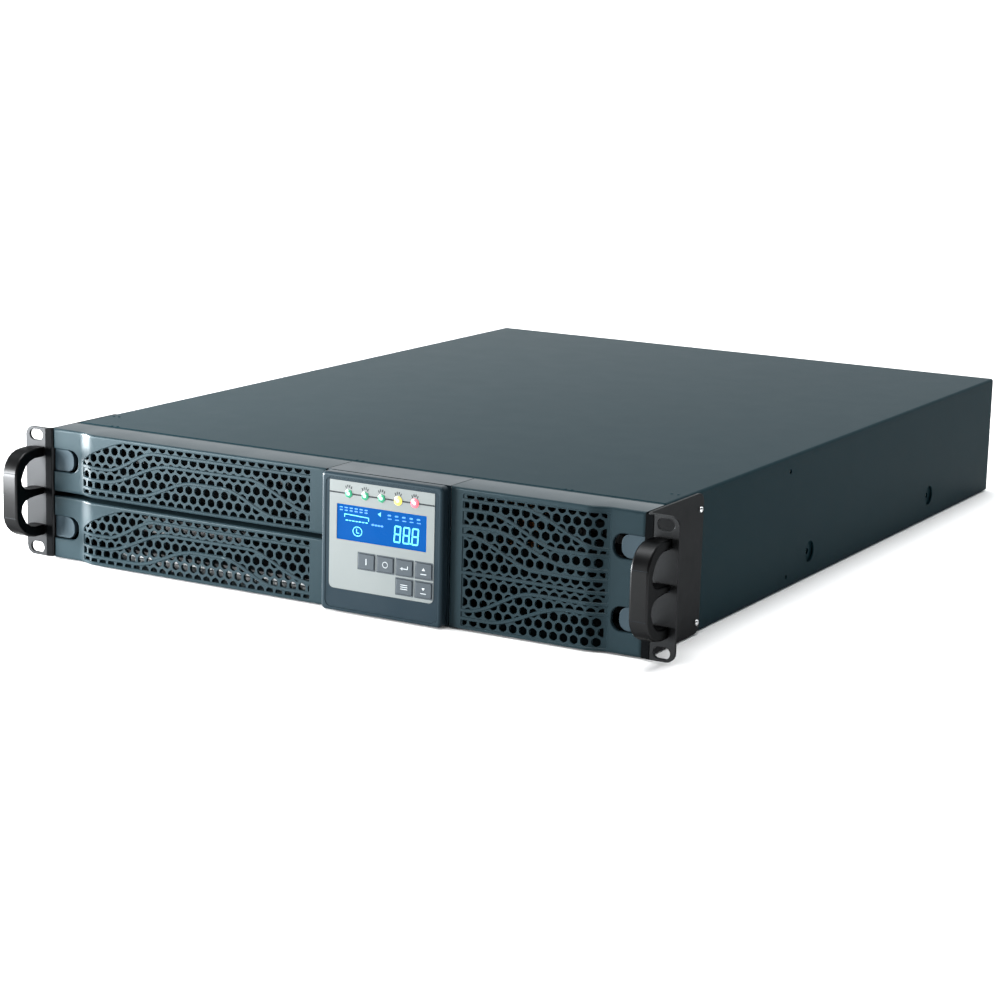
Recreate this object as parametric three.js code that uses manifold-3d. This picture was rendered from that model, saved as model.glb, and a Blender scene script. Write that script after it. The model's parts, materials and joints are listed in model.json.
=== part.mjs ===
// Rack-mount uninterruptible power supply, two rack units high.
// Millimetres, +Z up, front towards -Y. The origin is the centre of the underside.
import * as THREE from "three";
import { mergeVertices } from "three/addons/utils/BufferGeometryUtils.js";
import Module from "manifold-3d";

const wasm = await Module();
wasm.setup();

// Overall sizes
const RACK_WIDTH = 482.6; // outer edge to outer edge of the ears
const EAR_FLANGE = 22.3; // how far an ear stands out from the side of the chassis
const CHASSIS_WIDTH = RACK_WIDTH - 2 * EAR_FLANGE;
const HEIGHT = 88;
const DEPTH = 600; // front face of the ears to the rear edge of the cover
const SHEET = 1.2; // chassis sheet metal
const GAP = 0.3; // clearance between neighbouring pieces

const HALF = CHASSIS_WIDTH / 2;
const EAR_FRONT = -DEPTH / 2;
const REAR = DEPTH / 2;
const MID_Z = HEIGHT / 2;
const COVER_FRONT = EAR_FRONT + 25;
const INNER_HALF = HALF - SHEET - 2 * GAP; // half width inside the cover
const INNER_TOP = HEIGHT - SHEET - 2 * GAP;
const INNER_FLOOR = SHEET + GAP;

// Front mouldings
const BEZEL_WALL = 2.2;
const BEZEL_MAIN = EAR_FRONT - 3; // front face of the grille field
const BEZEL_END = EAR_FRONT + 1.1; // front face of the set-back outer end
const BEZEL_BACK = COVER_FRONT - GAP;
const BEZEL_OUTER = HALF + 0.1;
const BEZEL_STEP = [HALF - 36.5, HALF - 21.5]; // |X| over which the face curves back to the outer end
const LEFT_BEZEL_END = 0.5;
const RIGHT_BEZEL_START = 90;
const GROOVE = 2.8; // gap between the two stacked left mouldings
const HEX_PITCH = 10.5;
const HEX_ACROSS = 8.2; // flat to flat
const RIB_WIDTH = 2.6;
const RIB_PROUD = 0.4;

// Release latches at the outer ends of the bezels
const LATCH_HEIGHT = 15.2;
const LATCH_TRAVEL = 3;
const LATCH_SLOT_END = HALF - 20.7; // |X| of the slot's inner end
const LATCH_TAB_END = LATCH_SLOT_END + LATCH_TRAVEL + 1.7;
const LATCH_RECESS = 1.6; // how far the tab lies behind the bezel's face

// Ears and handles
const EAR_SHEET = 2;
const EAR_REACH = 74; // length of the side flange
const EAR_SLOT_SPACING = 76.2;
const EAR_SLOT_X = HALF + 13.55;
const HANDLE_X = [HALF + 6, HALF + 18];
const HANDLE_REACH = 29.6;

// Display head
const DISPLAY_X = 45.3;
const DISPLAY_SIZE = 87.4;
const DISPLAY_TOP = MID_Z + DISPLAY_SIZE / 2;
const DISPLAY_FRONT = EAR_FRONT - 10;
const DISPLAY_BACK = EAR_FRONT - 3.8; // just clear of the bezels, so the head can turn
const STEM_RADIUS = 20;
const SPIGOT_RADIUS = 14;
const LCD_SIZE = [64.7, 22.3];
const LCD_Z = DISPLAY_TOP - 30.25;
const LED_COUNT = 5;
const LED_PITCH = 11.9;
const LED_Z = DISPLAY_TOP - 12.1;
const KEY_SIZE = [11.4, 9.4];
const KEY_PITCH = [KEY_SIZE[0] + 2.35, KEY_SIZE[1] + 2.6];
const KEY_END = [DISPLAY_X + DISPLAY_SIZE / 2 - 12.65, DISPLAY_TOP - 53.1]; // last key of the top row

// Battery drawer
const BATTERY = { width: 94, length: 151, height: 65 };
const BATTERY_COLUMNS = 2;
const BATTERY_ROWS = 3;
const DRAWER_RIGHT = -6;
const DRAWER_LEFT = DRAWER_RIGHT - BATTERY_COLUMNS * (BATTERY.width + 1) - 16;
const DRAWER_MIDDLE = (DRAWER_LEFT + DRAWER_RIGHT) / 2;

// Rear
const FAN_SIZE = 80;
const FAN_DEPTH = 25;
const FAN_EDGE = 208; // X of the outer side of the outer fan
const FAN_CENTRES = [FAN_EDGE - 1.5 * FAN_SIZE - 4, FAN_EDGE - FAN_SIZE / 2];
const PANEL_Y = [REAR - 2, REAR - 2 + SHEET];
const FASCIA = PANEL_Y[1] + GAP; // inner plane of what is screwed on the rear panel

// ---------------------------------------------------------------- helpers

function solid(geometry) {
  const bare = geometry.index ? geometry.toNonIndexed() : geometry.clone();
  bare.deleteAttribute("normal");
  bare.deleteAttribute("uv");
  const merged = mergeVertices(bare, 1e-4);
  return new wasm.Manifold(
    new wasm.Mesh({
      numProp: 3,
      vertProperties: merged.attributes.position.array,
      triVerts: new Uint32Array(merged.index.array),
    }),
  );
}

function union(pieces) {
  return pieces.reduce((sum, piece) => sum.add(piece));
}

function box(x, y, z) {
  const geometry = new THREE.BoxGeometry(x[1] - x[0], y[1] - y[0], z[1] - z[0]);
  geometry.translate((x[0] + x[1]) / 2, (y[0] + y[1]) / 2, (z[0] + z[1]) / 2);
  return solid(geometry);
}

// Cylinder along Y from y[0] to y[1].
function rod(radius, x, y, z, sides = 24) {
  const geometry = new THREE.CylinderGeometry(radius, radius, y[1] - y[0], sides);
  geometry.translate(x, (y[0] + y[1]) / 2, 0);
  geometry.translate(0, 0, z);
  return solid(geometry);
}

// Cylinder standing along Z from z[0] to z[1].
function post(radius, x, y, z, sides = 16) {
  const geometry = new THREE.CylinderGeometry(radius, radius, z[1] - z[0], sides);
  geometry.rotateX(Math.PI / 2);
  geometry.translate(x, y, (z[0] + z[1]) / 2);
  return solid(geometry);
}

// Cylinder lying along X from x[0] to x[1].
function pin(radius, x, y, z, sides = 16) {
  const geometry = new THREE.CylinderGeometry(radius, radius, x[1] - x[0], sides);
  geometry.rotateZ(Math.PI / 2);
  geometry.translate((x[0] + x[1]) / 2, y, z);
  return solid(geometry);
}

function outline(points) {
  return new THREE.Shape(points.map(([u, v]) => new THREE.Vector2(u, v)));
}

function extrude(shapes, depth) {
  return new THREE.ExtrudeGeometry(shapes, { depth, bevelEnabled: false });
}

// Outline in X and Z, extruded along Y.
function slabY(shapes, y) {
  const geometry = extrude(shapes, y[1] - y[0]);
  geometry.rotateX(Math.PI / 2);
  geometry.translate(0, y[1], 0);
  return solid(geometry);
}

// Outline in X and Y, extruded along Z.
function slabZ(shapes, z) {
  const geometry = extrude(shapes, z[1] - z[0]);
  geometry.translate(0, 0, z[0]);
  return solid(geometry);
}

// Outline in Y and Z, extruded along X.
function slabX(shapes, x) {
  const geometry = extrude(shapes, x[1] - x[0]);
  geometry.applyMatrix4(
    new THREE.Matrix4().makeBasis(
      new THREE.Vector3(0, 1, 0),
      new THREE.Vector3(0, 0, 1),
      new THREE.Vector3(1, 0, 0),
    ),
  );
  geometry.translate(x[0], 0, 0);
  return solid(geometry);
}

// Rectangle with corner radii [low-low, high-low, high-high, low-high].
function roundedRect(u, v, radii, segments = 3) {
  const corners = [
    [u[0], v[0], 1, 1, Math.PI],
    [u[1], v[0], -1, 1, -Math.PI / 2],
    [u[1], v[1], -1, -1, 0],
    [u[0], v[1], 1, -1, Math.PI / 2],
  ];
  const points = [];
  corners.forEach(([cu, cv, su, sv, start], i) => {
    const r = Array.isArray(radii) ? radii[i] : radii;
    if (r === 0) {
      points.push([cu, cv]);
      return;
    }
    for (let k = 0; k <= segments; k += 1) {
      const angle = start + (k / segments) * (Math.PI / 2);
      points.push([cu + su * r + r * Math.cos(angle), cv + sv * r + r * Math.sin(angle)]);
    }
  });
  return outline(points);
}

function smooth(t) {
  const s = Math.min(1, Math.max(0, t));
  return s * s * (3 - 2 * s);
}

function mirrorX(piece) {
  return piece.mirror([1, 0, 0]);
}

const part = new THREE.Group();
part.name = "uninterruptible_power_supply";

const FINISH = {
  steel: { color: 0x27363c, roughness: 0.5, metalness: 0.4 },
  zinc: { color: 0xa9adb0, roughness: 0.4, metalness: 0.8 },
  ear: { color: 0x3a3f42, roughness: 0.45, metalness: 0.4 },
  black: { color: 0x141618, roughness: 0.5, metalness: 0 },
  bezel: { color: 0x47545b, roughness: 0.5, metalness: 0 },
  latch: { color: 0x4d5a63, roughness: 0.45, metalness: 0 },
  label: { color: 0xb9c2c4, roughness: 0.4, metalness: 0.2 },
  lcd: { color: 0x0a5fb8, roughness: 0.15, metalness: 0 },
  key: { color: 0x59636a, roughness: 0.6, metalness: 0 },
  clear: { color: 0xdfe8e6, roughness: 0.2, metalness: 0 },
  board: { color: 0x1f5a37, roughness: 0.6, metalness: 0 },
  aluminium: { color: 0xb4b8bb, roughness: 0.4, metalness: 0.9 },
  winding: { color: 0x9a6a32, roughness: 0.5, metalness: 0.3 },
  battery: { color: 0x2b2f34, roughness: 0.6, metalness: 0 },
};

function node(name, piece, finish) {
  const mesh = piece.getMesh();
  const geometry = new THREE.BufferGeometry();
  geometry.setAttribute("position", new THREE.BufferAttribute(mesh.vertProperties, 3));
  geometry.setIndex(new THREE.BufferAttribute(mesh.triVerts, 1));
  const flat = geometry.toNonIndexed();
  flat.computeVertexNormals();
  const made = new THREE.Mesh(flat, new THREE.MeshStandardMaterial(FINISH[finish]));
  made.name = name;
  part.add(made);
}

// ---------------------------------------------------------------- chassis

const SIDE_HOLE_Y = [EAR_FRONT + 247.5, EAR_FRONT + 470.5];
const SIDE_HOLE_Z = 17.5;

function basePan() {
  const y = [COVER_FRONT + 0.1 + SHEET + GAP, PANEL_Y[0] - GAP];
  const floor = box([-INNER_HALF, INNER_HALF], y, [0, SHEET]);
  const flange = box([INNER_HALF - SHEET, INNER_HALF], y, [0, 30]);
  const threads = SIDE_HOLE_Y.map((hole) => pin(2.1, [HALF - 9, HALF + 1], hole, SIDE_HOLE_Z, 8));
  const right = flange.subtract(union(threads));
  return union([floor, right, mirrorX(right)]);
}

function topCover() {
  const outer = roundedRect([-HALF, HALF], [0.4, HEIGHT], [0, 0, 2, 2]);
  const inner = roundedRect([-HALF + SHEET, HALF - SHEET], [-1, HEIGHT - SHEET], [0, 0, 0.8, 0.8]);
  const y = [COVER_FRONT, REAR];
  const shell = slabY(outer, y).subtract(slabY(inner, [y[0] - 1, y[1] + 1]));
  const holes = SIDE_HOLE_Y.map((hole) => pin(7, [-HALF - 11, HALF + 11], hole, SIDE_HOLE_Z));
  return shell.subtract(union(holes));
}

function frontFrame() {
  const y = [COVER_FRONT + 0.1, COVER_FRONT + 0.1 + SHEET];
  const cut = [y[0] - 1, y[1] + 1];
  const plate = box([-INNER_HALF, INNER_HALF], y, [INNER_FLOOR, INNER_TOP]);
  const doorway = box([DRAWER_LEFT - 1.5, DRAWER_RIGHT + 1.5], cut, [2.4, HEIGHT - 3.5]);
  const stemHole = rod(STEM_RADIUS + 3, DISPLAY_X, cut, MID_Z);
  const slots = [];
  for (let i = 0; i < 6; i += 1) {
    const z = 12 + i * 12;
    slots.push(box([RIGHT_BEZEL_START + 14, HALF - 15], cut, [z, z + 6]));
  }
  return plate.subtract(union([doorway, stemHole, ...slots]));
}

function bayDivider() {
  const x = [DRAWER_RIGHT + 2.6, DRAWER_RIGHT + 2.6 + SHEET];
  return box(x, [COVER_FRONT + SHEET + 0.5, 196], [INNER_FLOOR, INNER_TOP]);
}

// One ring of punched sectors in front of a fan.
function fanGuardCuts(centre) {
  const cuts = [];
  const steps = 4;
  for (const share of [[0.1125, 0.21875], [0.25, 0.35625], [0.3875, 0.475]]) {
    const [r0, r1] = share.map((part) => part * FAN_SIZE);
    for (let sector = 0; sector < 4; sector += 1) {
      const margin = 2 / r0;
      const from = (sector * Math.PI) / 2 + margin;
      const span = Math.PI / 2 - 2 * margin;
      const arc = (r, k) => {
        const angle = from + (span * k) / steps;
        return [centre + r * Math.cos(angle), MID_Z + r * Math.sin(angle)];
      };
      const points = [];
      for (let k = 0; k <= steps; k += 1) points.push(arc(r1, k));
      for (let k = steps; k >= 0; k -= 1) points.push(arc(r0, k));
      cuts.push(outline(points));
    }
  }
  return cuts;
}

const OUTLET_X = [-210, -104];
const OUTLET_Z = [[6, 40], [46, 80]];
const INLET = { x: [-98, -50], z: [6, 36] };
const BATTERY_PORT = { x: [-98, -50], z: [50, 76] };
const BREAKER = { x: [-46, -24], z: [9, 33] };
const USB = { x: [-16, -4], z: [14, 25] };
const SERIAL = { x: [3, 34], z: [13, 26] };
const SLOT_COVER = { x: [-42, 34], z: [46, 80] };
const LIP = 3; // how far each fascia laps over its panel opening

function opening(x, z, y) {
  const side = LIP - GAP;
  return box([x[0] + side, x[1] - side], y, [z[0] + side, z[1] - side]);
}

function rearPanel() {
  const cut = [PANEL_Y[0] - 1, PANEL_Y[1] + 1];
  const plate = box([-INNER_HALF, INNER_HALF], PANEL_Y, [INNER_FLOOR, INNER_TOP]);
  const ports = [INLET, BATTERY_PORT, BREAKER, SLOT_COVER];
  const windows = ports.map((port) => opening(port.x, port.z, cut));
  OUTLET_Z.forEach((z) => windows.push(opening(OUTLET_X, z, cut)));
  [USB, SERIAL].forEach((port) => {
    windows.push(box([port.x[0] - GAP, port.x[1] + GAP], cut, [port.z[0] - GAP, port.z[1] + GAP]));
  });
  FAN_CENTRES.forEach((centre) => windows.push(slabY(fanGuardCuts(centre), cut)));
  return plate.subtract(union(windows));
}

function addChassis() {
  node("base_pan", basePan(), "steel");
  node("top_cover", topCover(), "steel");
  node("front_frame", frontFrame(), "steel");
  node("bay_divider", bayDivider(), "zinc");
  node("rear_panel", rearPanel(), "steel");
}

// ---------------------------------------------------------------- ears and handles

function earRight() {
  const z = [0.5, HEIGHT - 0.5];
  const edge = RACK_WIDTH / 2;
  const inside = HALF + 0.4;
  const front = roundedRect([inside, edge], z, [0, 6, 6, 0]);
  const face = slabY(front, [EAR_FRONT, EAR_FRONT + EAR_SHEET]);
  const rear = EAR_FRONT + EAR_REACH;
  const side = roundedRect([EAR_FRONT, rear], z, [0, 6, 6, 0]);
  const flange = slabX(side, [inside, inside + EAR_SHEET]);
  const slots = [-1, 1].map((sign) => {
    const mid = MID_Z + (sign * EAR_SLOT_SPACING) / 2;
    const x = [EAR_SLOT_X - 5.5, EAR_SLOT_X + 5.5];
    const shape = roundedRect(x, [mid - 3.55, mid + 3.55], 3.5);
    return slabY(shape, [EAR_FRONT - 1, EAR_FRONT + EAR_SHEET + 1]);
  });
  return union([face, flange]).subtract(union(slots));
}

// Double-loop pull handle: a grip strap joined to three feet on the ear.
function handleRight() {
  const root = EAR_FRONT - GAP;
  const grip = root - HANDLE_REACH;
  const profile = outline([
    [root, 76.5],
    [root - 15, 77],
    [root - 22, 73.5],
    [root - 27, 68],
    [grip, 60],
    [grip, 30],
    [root - 25.7, 22.5],
    [root - 17.2, 16.6],
    [root, 15],
  ]);
  const body = slabX(profile, HANDLE_X);
  const windowX = [HANDLE_X[0] - 1, HANDLE_X[1] + 1];
  const y = [grip + 5.4, root + 1];
  const upper = roundedRect(y, [48, 71], [3, 0, 0, 9]);
  const lower = roundedRect(y, [20.5, 42.5], [9, 0, 0, 3]);
  return body.subtract(slabX(upper, windowX)).subtract(slabX(lower, windowX));
}

function addEars() {
  node("ear_right", earRight(), "ear");
  node("ear_left", mirrorX(earRight()), "ear");
  node("handle_right", handleRight(), "black");
  node("handle_left", mirrorX(handleRight()), "black");
}

// ---------------------------------------------------------------- bezels

// Y of a bezel's front face, by distance from the middle of the chassis.
function faceY(distance) {
  const t = (distance - BEZEL_STEP[0]) / (BEZEL_STEP[1] - BEZEL_STEP[0]);
  return BEZEL_MAIN + (BEZEL_END - BEZEL_MAIN) * smooth(t);
}

// Plan outline of a right-hand moulding from x[0] out to x[1], inset by a wall.
function bezelPlan(x, wall, back) {
  const points = [[x[1] - wall, back], [x[0] + wall, back], [x[0] + wall, BEZEL_MAIN + wall]];
  const steps = 8;
  for (let k = 0; k <= steps; k += 1) {
    const at = BEZEL_STEP[0] + ((BEZEL_STEP[1] - BEZEL_STEP[0]) * k) / steps;
    points.push([at, faceY(at) + wall]);
  }
  points.push([x[1] - wall, BEZEL_END + wall]);
  return outline(points.reverse());
}

// A rib's height at x: level[0], moving to level[1] over ramp[0], then to level[2] over ramp[1].
function ribHeight(rib, x) {
  return rib.ramp.reduce((z, [from, to], i) => {
    return z + (rib.level[i + 1] - rib.level[i]) * smooth((x - from) / (to - from));
  }, rib.level[0]);
}

// Wave-shaped rib as a flat ribbon across the grille.
function ribShape(rib, x) {
  const steps = 16;
  const upper = [];
  const lower = [];
  for (let k = 0; k <= steps; k += 1) {
    const at = x[0] + ((x[1] - x[0]) * k) / steps;
    const slope = (ribHeight(rib, at + 0.5) - ribHeight(rib, at - 0.5));
    const half = (RIB_WIDTH / 2) * Math.sqrt(1 + slope * slope);
    upper.push([at, ribHeight(rib, at) + half]);
    lower.push([at, ribHeight(rib, at) - half]);
  }
  return outline([...lower, ...upper.reverse()]);
}

// Hexagonal holes whose centres fall inside the field and off the ribs.
function hexHoles(field, ribs) {
  const radius = HEX_ACROSS / Math.sqrt(3);
  const rowStep = HEX_PITCH * Math.cos(Math.PI / 6);
  const holes = [];
  const rows = Math.floor((field.z[1] - field.z[0] - HEX_ACROSS) / rowStep) + 1;
  const z0 = (field.z[0] + field.z[1] - (rows - 1) * rowStep) / 2;
  for (let row = 0; row < rows; row += 1) {
    const z = z0 + row * rowStep;
    const shift = (row % 2) * 0.5 * HEX_PITCH;
    for (let x = field.x[0] + HEX_ACROSS / 2 + shift; x < field.x[1] - HEX_ACROSS / 2; x += HEX_PITCH) {
      const clear = ribs.every((rib) => Math.abs(ribHeight(rib, x) - z) > RIB_WIDTH * 0.6);
      if (!clear || !field.inside(x, z)) continue;
      const points = [];
      for (let k = 0; k < 6; k += 1) {
        const angle = (k * Math.PI) / 3 + Math.PI / 6;
        points.push([x + radius * Math.cos(angle), z + radius * Math.sin(angle)]);
      }
      holes.push(outline(points));
    }
  }
  return holes;
}

function latchSlot(z) {
  const shape = roundedRect(
    [LATCH_SLOT_END, BEZEL_OUTER + 2],
    [z - LATCH_HEIGHT / 2, z + LATCH_HEIGHT / 2],
    [6, 0, 0, 6],
  );
  return slabY(shape, [BEZEL_END - 2, BEZEL_END + 5]);
}

// Right-hand moulding: shell, grille holes, wave ribs and latch slots.
function bezel(x, z, field, ribs, latches) {
  const shell = slabZ(bezelPlan(x, 0, BEZEL_BACK), z).subtract(
    slabZ(bezelPlan(x, BEZEL_WALL, BEZEL_BACK + 5), [z[0] + BEZEL_WALL, z[1] - BEZEL_WALL]),
  );
  const depth = [BEZEL_MAIN - 2, BEZEL_END + 5];
  const pierced = shell.subtract(slabY(hexHoles(field, ribs), depth));
  const front = slabZ(bezelPlan(x, -RIB_PROUD, BEZEL_BACK), z);
  const body = front.subtract(slabZ(bezelPlan(x, BEZEL_WALL, BEZEL_BACK + 5), [z[0] - 1, z[1] + 1]));
  const bands = ribs.map((rib) => slabY(ribShape(rib, field.x), depth).intersect(body));
  return union([pierced, ...bands]).subtract(union(latches.map(latchSlot)));
}

const BEZEL_Z = {
  lower: [0.3, MID_Z - GROOVE / 2],
  upper: [MID_Z + GROOVE / 2, HEIGHT - 0.3],
};

// The two stacked left mouldings are the same piece, built here on the right and mirrored.
function leftBezel(z) {
  const ribs = [
    { level: [35.3, 20.4], ramp: [[132, 172]] },
    { level: [12.6, 28, 12.2], ramp: [[12, 60], [121, 174]] },
    { level: [5.9, 19.5, 5.9], ramp: [[37, 79], [101, 149]] },
  ].map((rib) => ({ ...rib, level: rib.level.map((height) => height + z[0]) }));
  const field = {
    x: [11, BEZEL_OUTER - 25],
    z: [z[0] + 2.2, z[1] - 3.4],
    inside: (x, height) => height - z[0] < 39.7 - Math.max(0, x - 156) * 0.42,
  };
  const middle = (z[0] + z[1]) / 2;
  const moulding = bezel([-LEFT_BEZEL_END, BEZEL_OUTER], z, field, ribs, [middle]);
  const drawerRelief = box(
    [-DRAWER_RIGHT - 1, -DRAWER_LEFT + 1],
    [COVER_FRONT - 4, BEZEL_BACK + 1],
    [7, HEIGHT - 7],
  );
  return mirrorX(moulding.subtract(drawerRelief));
}

function rightBezel() {
  const ribs = [
    { level: [80.3, 62], ramp: [[138, 193]] },
    { level: [74.4, 58], ramp: [[116, 165]] },
    { level: [64.4, 48.9], ramp: [[118, 170]] },
    { level: [58.8, 43], ramp: [[102, 150]] },
    { level: [35.7, 35.4], ramp: [[150, 200]] },
    { level: [12.2, 28.7], ramp: [[102, 148]] },
    { level: [7.3, 22.7], ramp: [[117, 171]] },
  ];
  const field = {
    x: [RIGHT_BEZEL_START + 8.5, BEZEL_OUTER - 25],
    z: [2.5, HEIGHT - 4],
    inside: () => true,
  };
  return bezel([RIGHT_BEZEL_START, BEZEL_OUTER], [0.3, HEIGHT - 0.3], field, ribs, LATCH_Z.right);
}

const LATCH_Z = {
  left: [BEZEL_Z.upper, BEZEL_Z.lower].map((z) => (z[0] + z[1]) / 2),
  right: [65.5, 21.8],
};

// Sliding release tab, drawn for the right side.
function latch(z) {
  const half = LATCH_HEIGHT / 2 - GAP;
  const shape = roundedRect([LATCH_TAB_END, BEZEL_OUTER - 0.2], [z - half, z + half], [5.7, 0, 0, 5.7]);
  const front = BEZEL_END + LATCH_RECESS;
  const tab = slabY(shape, [front, front + 3]);
  const tongue = box([LATCH_TAB_END + 2, HALF - 5], [front + 2.5, front + 10], [z - 3.5, z + 3.5]);
  return union([tab, tongue]);
}

function addBezels() {
  node("bezel_upper_left", leftBezel(BEZEL_Z.upper), "bezel");
  node("bezel_lower_left", leftBezel(BEZEL_Z.lower), "bezel");
  node("bezel_right", rightBezel(), "bezel");
  const names = ["upper", "lower"];
  names.forEach((name, i) => {
    node("latch_" + name + "_left", mirrorX(latch(LATCH_Z.left[i])), "latch");
    node("latch_" + name + "_right", latch(LATCH_Z.right[i]), "latch");
  });
}

// ---------------------------------------------------------------- display head

const HEAD_X = [DISPLAY_X - DISPLAY_SIZE / 2, DISPLAY_X + DISPLAY_SIZE / 2];
const HEAD_Z = [MID_Z - DISPLAY_SIZE / 2, MID_Z + DISPLAY_SIZE / 2];
const OVERLAY_X = [HEAD_X[0] + 3.3, HEAD_X[1] - 3.3];
const OVERLAY_Z = [HEAD_Z[0] + 2.5, HEAD_Z[1] - 3.1];
const OVERLAY_RECESS = 0.6;

const KEYS = [
  ["key_on", 0, 0],
  ["key_off", 1, 0],
  ["key_enter", 2, 0],
  ["key_up", 3, 0],
  ["key_menu", 2, 1],
  ["key_down", 3, 1],
].map(([name, column, row]) => ({
  name,
  x: KEY_END[0] + (column - 3) * KEY_PITCH[0],
  z: KEY_END[1] - row * KEY_PITCH[1],
}));

function centredBox(x, z, size, y, grow = 0) {
  const w = size[0] / 2 + grow;
  const h = size[1] / 2 + grow;
  return box([x - w, x + w], y, [z - h, z + h]);
}

function ledX(i) {
  return DISPLAY_X + (i - (LED_COUNT - 1) / 2) * LED_PITCH;
}

// Openings for the LCD, the keys and the status lights.
function faceOpenings(y, grow) {
  const cuts = [centredBox(DISPLAY_X, LCD_Z, LCD_SIZE, y, grow)];
  KEYS.forEach((key) => cuts.push(centredBox(key.x, key.z, KEY_SIZE, y, grow)));
  for (let i = 0; i < LED_COUNT; i += 1) cuts.push(rod(1.6 + grow, ledX(i), y, LED_Z, 10));
  return union(cuts);
}

// Fixed housing between the bezels that guides the display stem.
function displayBay() {
  const x = [LEFT_BEZEL_END + 0.6, RIGHT_BEZEL_START - 0.6];
  const z = [0.3, HEIGHT - 0.3];
  const front = EAR_FRONT - 2;
  const shell = box(x, [front, BEZEL_BACK], z).subtract(
    box([x[0] + 2, x[1] - 2], [front + 2.5, BEZEL_BACK + 1], [z[0] + 2, z[1] - 2]),
  );
  const sleeve = rod(STEM_RADIUS + 2.5, DISPLAY_X, [front, front + 16], MID_Z, 32);
  const bore = rod(STEM_RADIUS + GAP, DISPLAY_X, [front - 1, front + 20], MID_Z, 32);
  return shell.add(sleeve).subtract(bore);
}

// Tube that slides in the bay and carries the turning head.
function displayStem() {
  const tube = rod(STEM_RADIUS, DISPLAY_X, [EAR_FRONT - 2.6, EAR_FRONT + 40], MID_Z, 32);
  const bore = rod(SPIGOT_RADIUS + GAP, DISPLAY_X, [EAR_FRONT - 4, EAR_FRONT + 41], MID_Z, 32);
  return tube.subtract(bore);
}

function displayHousing() {
  const outer = roundedRect(HEAD_X, HEAD_Z, 2.5);
  const shell = slabY(outer, [DISPLAY_FRONT, DISPLAY_BACK]);
  const inner = roundedRect(
    [HEAD_X[0] + 2, HEAD_X[1] - 2],
    [HEAD_Z[0] + 2, HEAD_Z[1] - 2],
    1.5,
  );
  const cavity = slabY(inner, [DISPLAY_FRONT + 2, DISPLAY_BACK + 1]);
  const seat = roundedRect(
    [OVERLAY_X[0] - GAP, OVERLAY_X[1] + GAP],
    [OVERLAY_Z[0] - GAP, OVERLAY_Z[1] + GAP],
    4.3,
  );
  const recess = slabY(seat, [DISPLAY_FRONT - 1, DISPLAY_FRONT + OVERLAY_RECESS]);
  return shell.subtract(cavity).subtract(recess).subtract(
    faceOpenings([DISPLAY_FRONT - 1, DISPLAY_FRONT + 3], GAP),
  );
}

function displayOverlay() {
  const y = [DISPLAY_FRONT, DISPLAY_FRONT + GAP];
  const sheet = slabY(roundedRect(OVERLAY_X, OVERLAY_Z, 4), y);
  return sheet.subtract(faceOpenings([y[0] - 1, y[1] + 1], GAP));
}

// Closing plate with the spigot that turns in the stem.
function displayBackPlate() {
  const shape = roundedRect(
    [HEAD_X[0] + 2.3, HEAD_X[1] - 2.3],
    [HEAD_Z[0] + 2.3, HEAD_Z[1] - 2.3],
    1.2,
  );
  const plate = slabY(shape, [DISPLAY_BACK - 1.2, DISPLAY_BACK]);
  const spigot = rod(SPIGOT_RADIUS, DISPLAY_X, [DISPLAY_BACK - 0.5, EAR_FRONT + 30], MID_Z, 32);
  const cableWay = rod(8, DISPLAY_X, [DISPLAY_BACK - 3, EAR_FRONT + 31], MID_Z, 16);
  return plate.add(spigot).subtract(cableWay);
}

function displayBoard() {
  const x = [HEAD_X[0] + 3.5, HEAD_X[1] - 3.5];
  const z = [HEAD_Z[0] + 3.5, HEAD_Z[1] - 3.5];
  return box(x, [DISPLAY_BACK - 2.5, DISPLAY_BACK - 1.5], z);
}

function keyCap(key) {
  const cap = centredBox(key.x, key.z, KEY_SIZE, [DISPLAY_FRONT - 0.4, DISPLAY_FRONT + 2.6]);
  const foot = centredBox(key.x, key.z, KEY_SIZE, [DISPLAY_FRONT + 2.3, DISPLAY_FRONT + 2.9], 0.8);
  return cap.add(foot);
}

function lightPipe() {
  const x = [ledX(0) - 4, ledX(LED_COUNT - 1) + 4];
  const bar = box(x, [DISPLAY_FRONT + 2.4, DISPLAY_FRONT + 3.2], [LED_Z - 2.5, LED_Z + 2.5]);
  const tips = [];
  for (let i = 0; i < LED_COUNT; i += 1) {
    tips.push(rod(1.6, ledX(i), [DISPLAY_FRONT - 0.3, DISPLAY_FRONT + 3], LED_Z, 10));
  }
  return union([bar, ...tips]);
}

function lcdWindow() {
  return centredBox(DISPLAY_X, LCD_Z, LCD_SIZE, [DISPLAY_FRONT + 0.1, DISPLAY_FRONT + 3]);
}

function addDisplay() {
  node("display_bay", displayBay(), "bezel");
  node("display_stem", displayStem(), "black");
  node("display_housing", displayHousing(), "bezel");
  node("display_overlay", displayOverlay(), "label");
  node("display_back_plate", displayBackPlate(), "bezel");
  node("display_board", displayBoard(), "board");
  node("lcd_window", lcdWindow(), "lcd");
  node("led_light_pipe", lightPipe(), "clear");
  KEYS.forEach((key) => node(key.name, keyCap(key), "key"));
}

// ---------------------------------------------------------------- battery drawer

const TRAY_Y = [COVER_FRONT - 1, COVER_FRONT - 1 + BATTERY_ROWS * (BATTERY.length + 1) + 8];
const TRAY_FLOOR = INNER_FLOOR + 1.3;

function batteryTray() {
  const x = [DRAWER_LEFT, DRAWER_RIGHT];
  const z = [TRAY_FLOOR, TRAY_FLOOR + 34];
  const inside = box([x[0] + SHEET, x[1] - SHEET], [TRAY_Y[0] - 1, TRAY_Y[1] - SHEET], [z[0] + SHEET, 80]);
  return box(x, TRAY_Y, z).subtract(inside);
}

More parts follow.
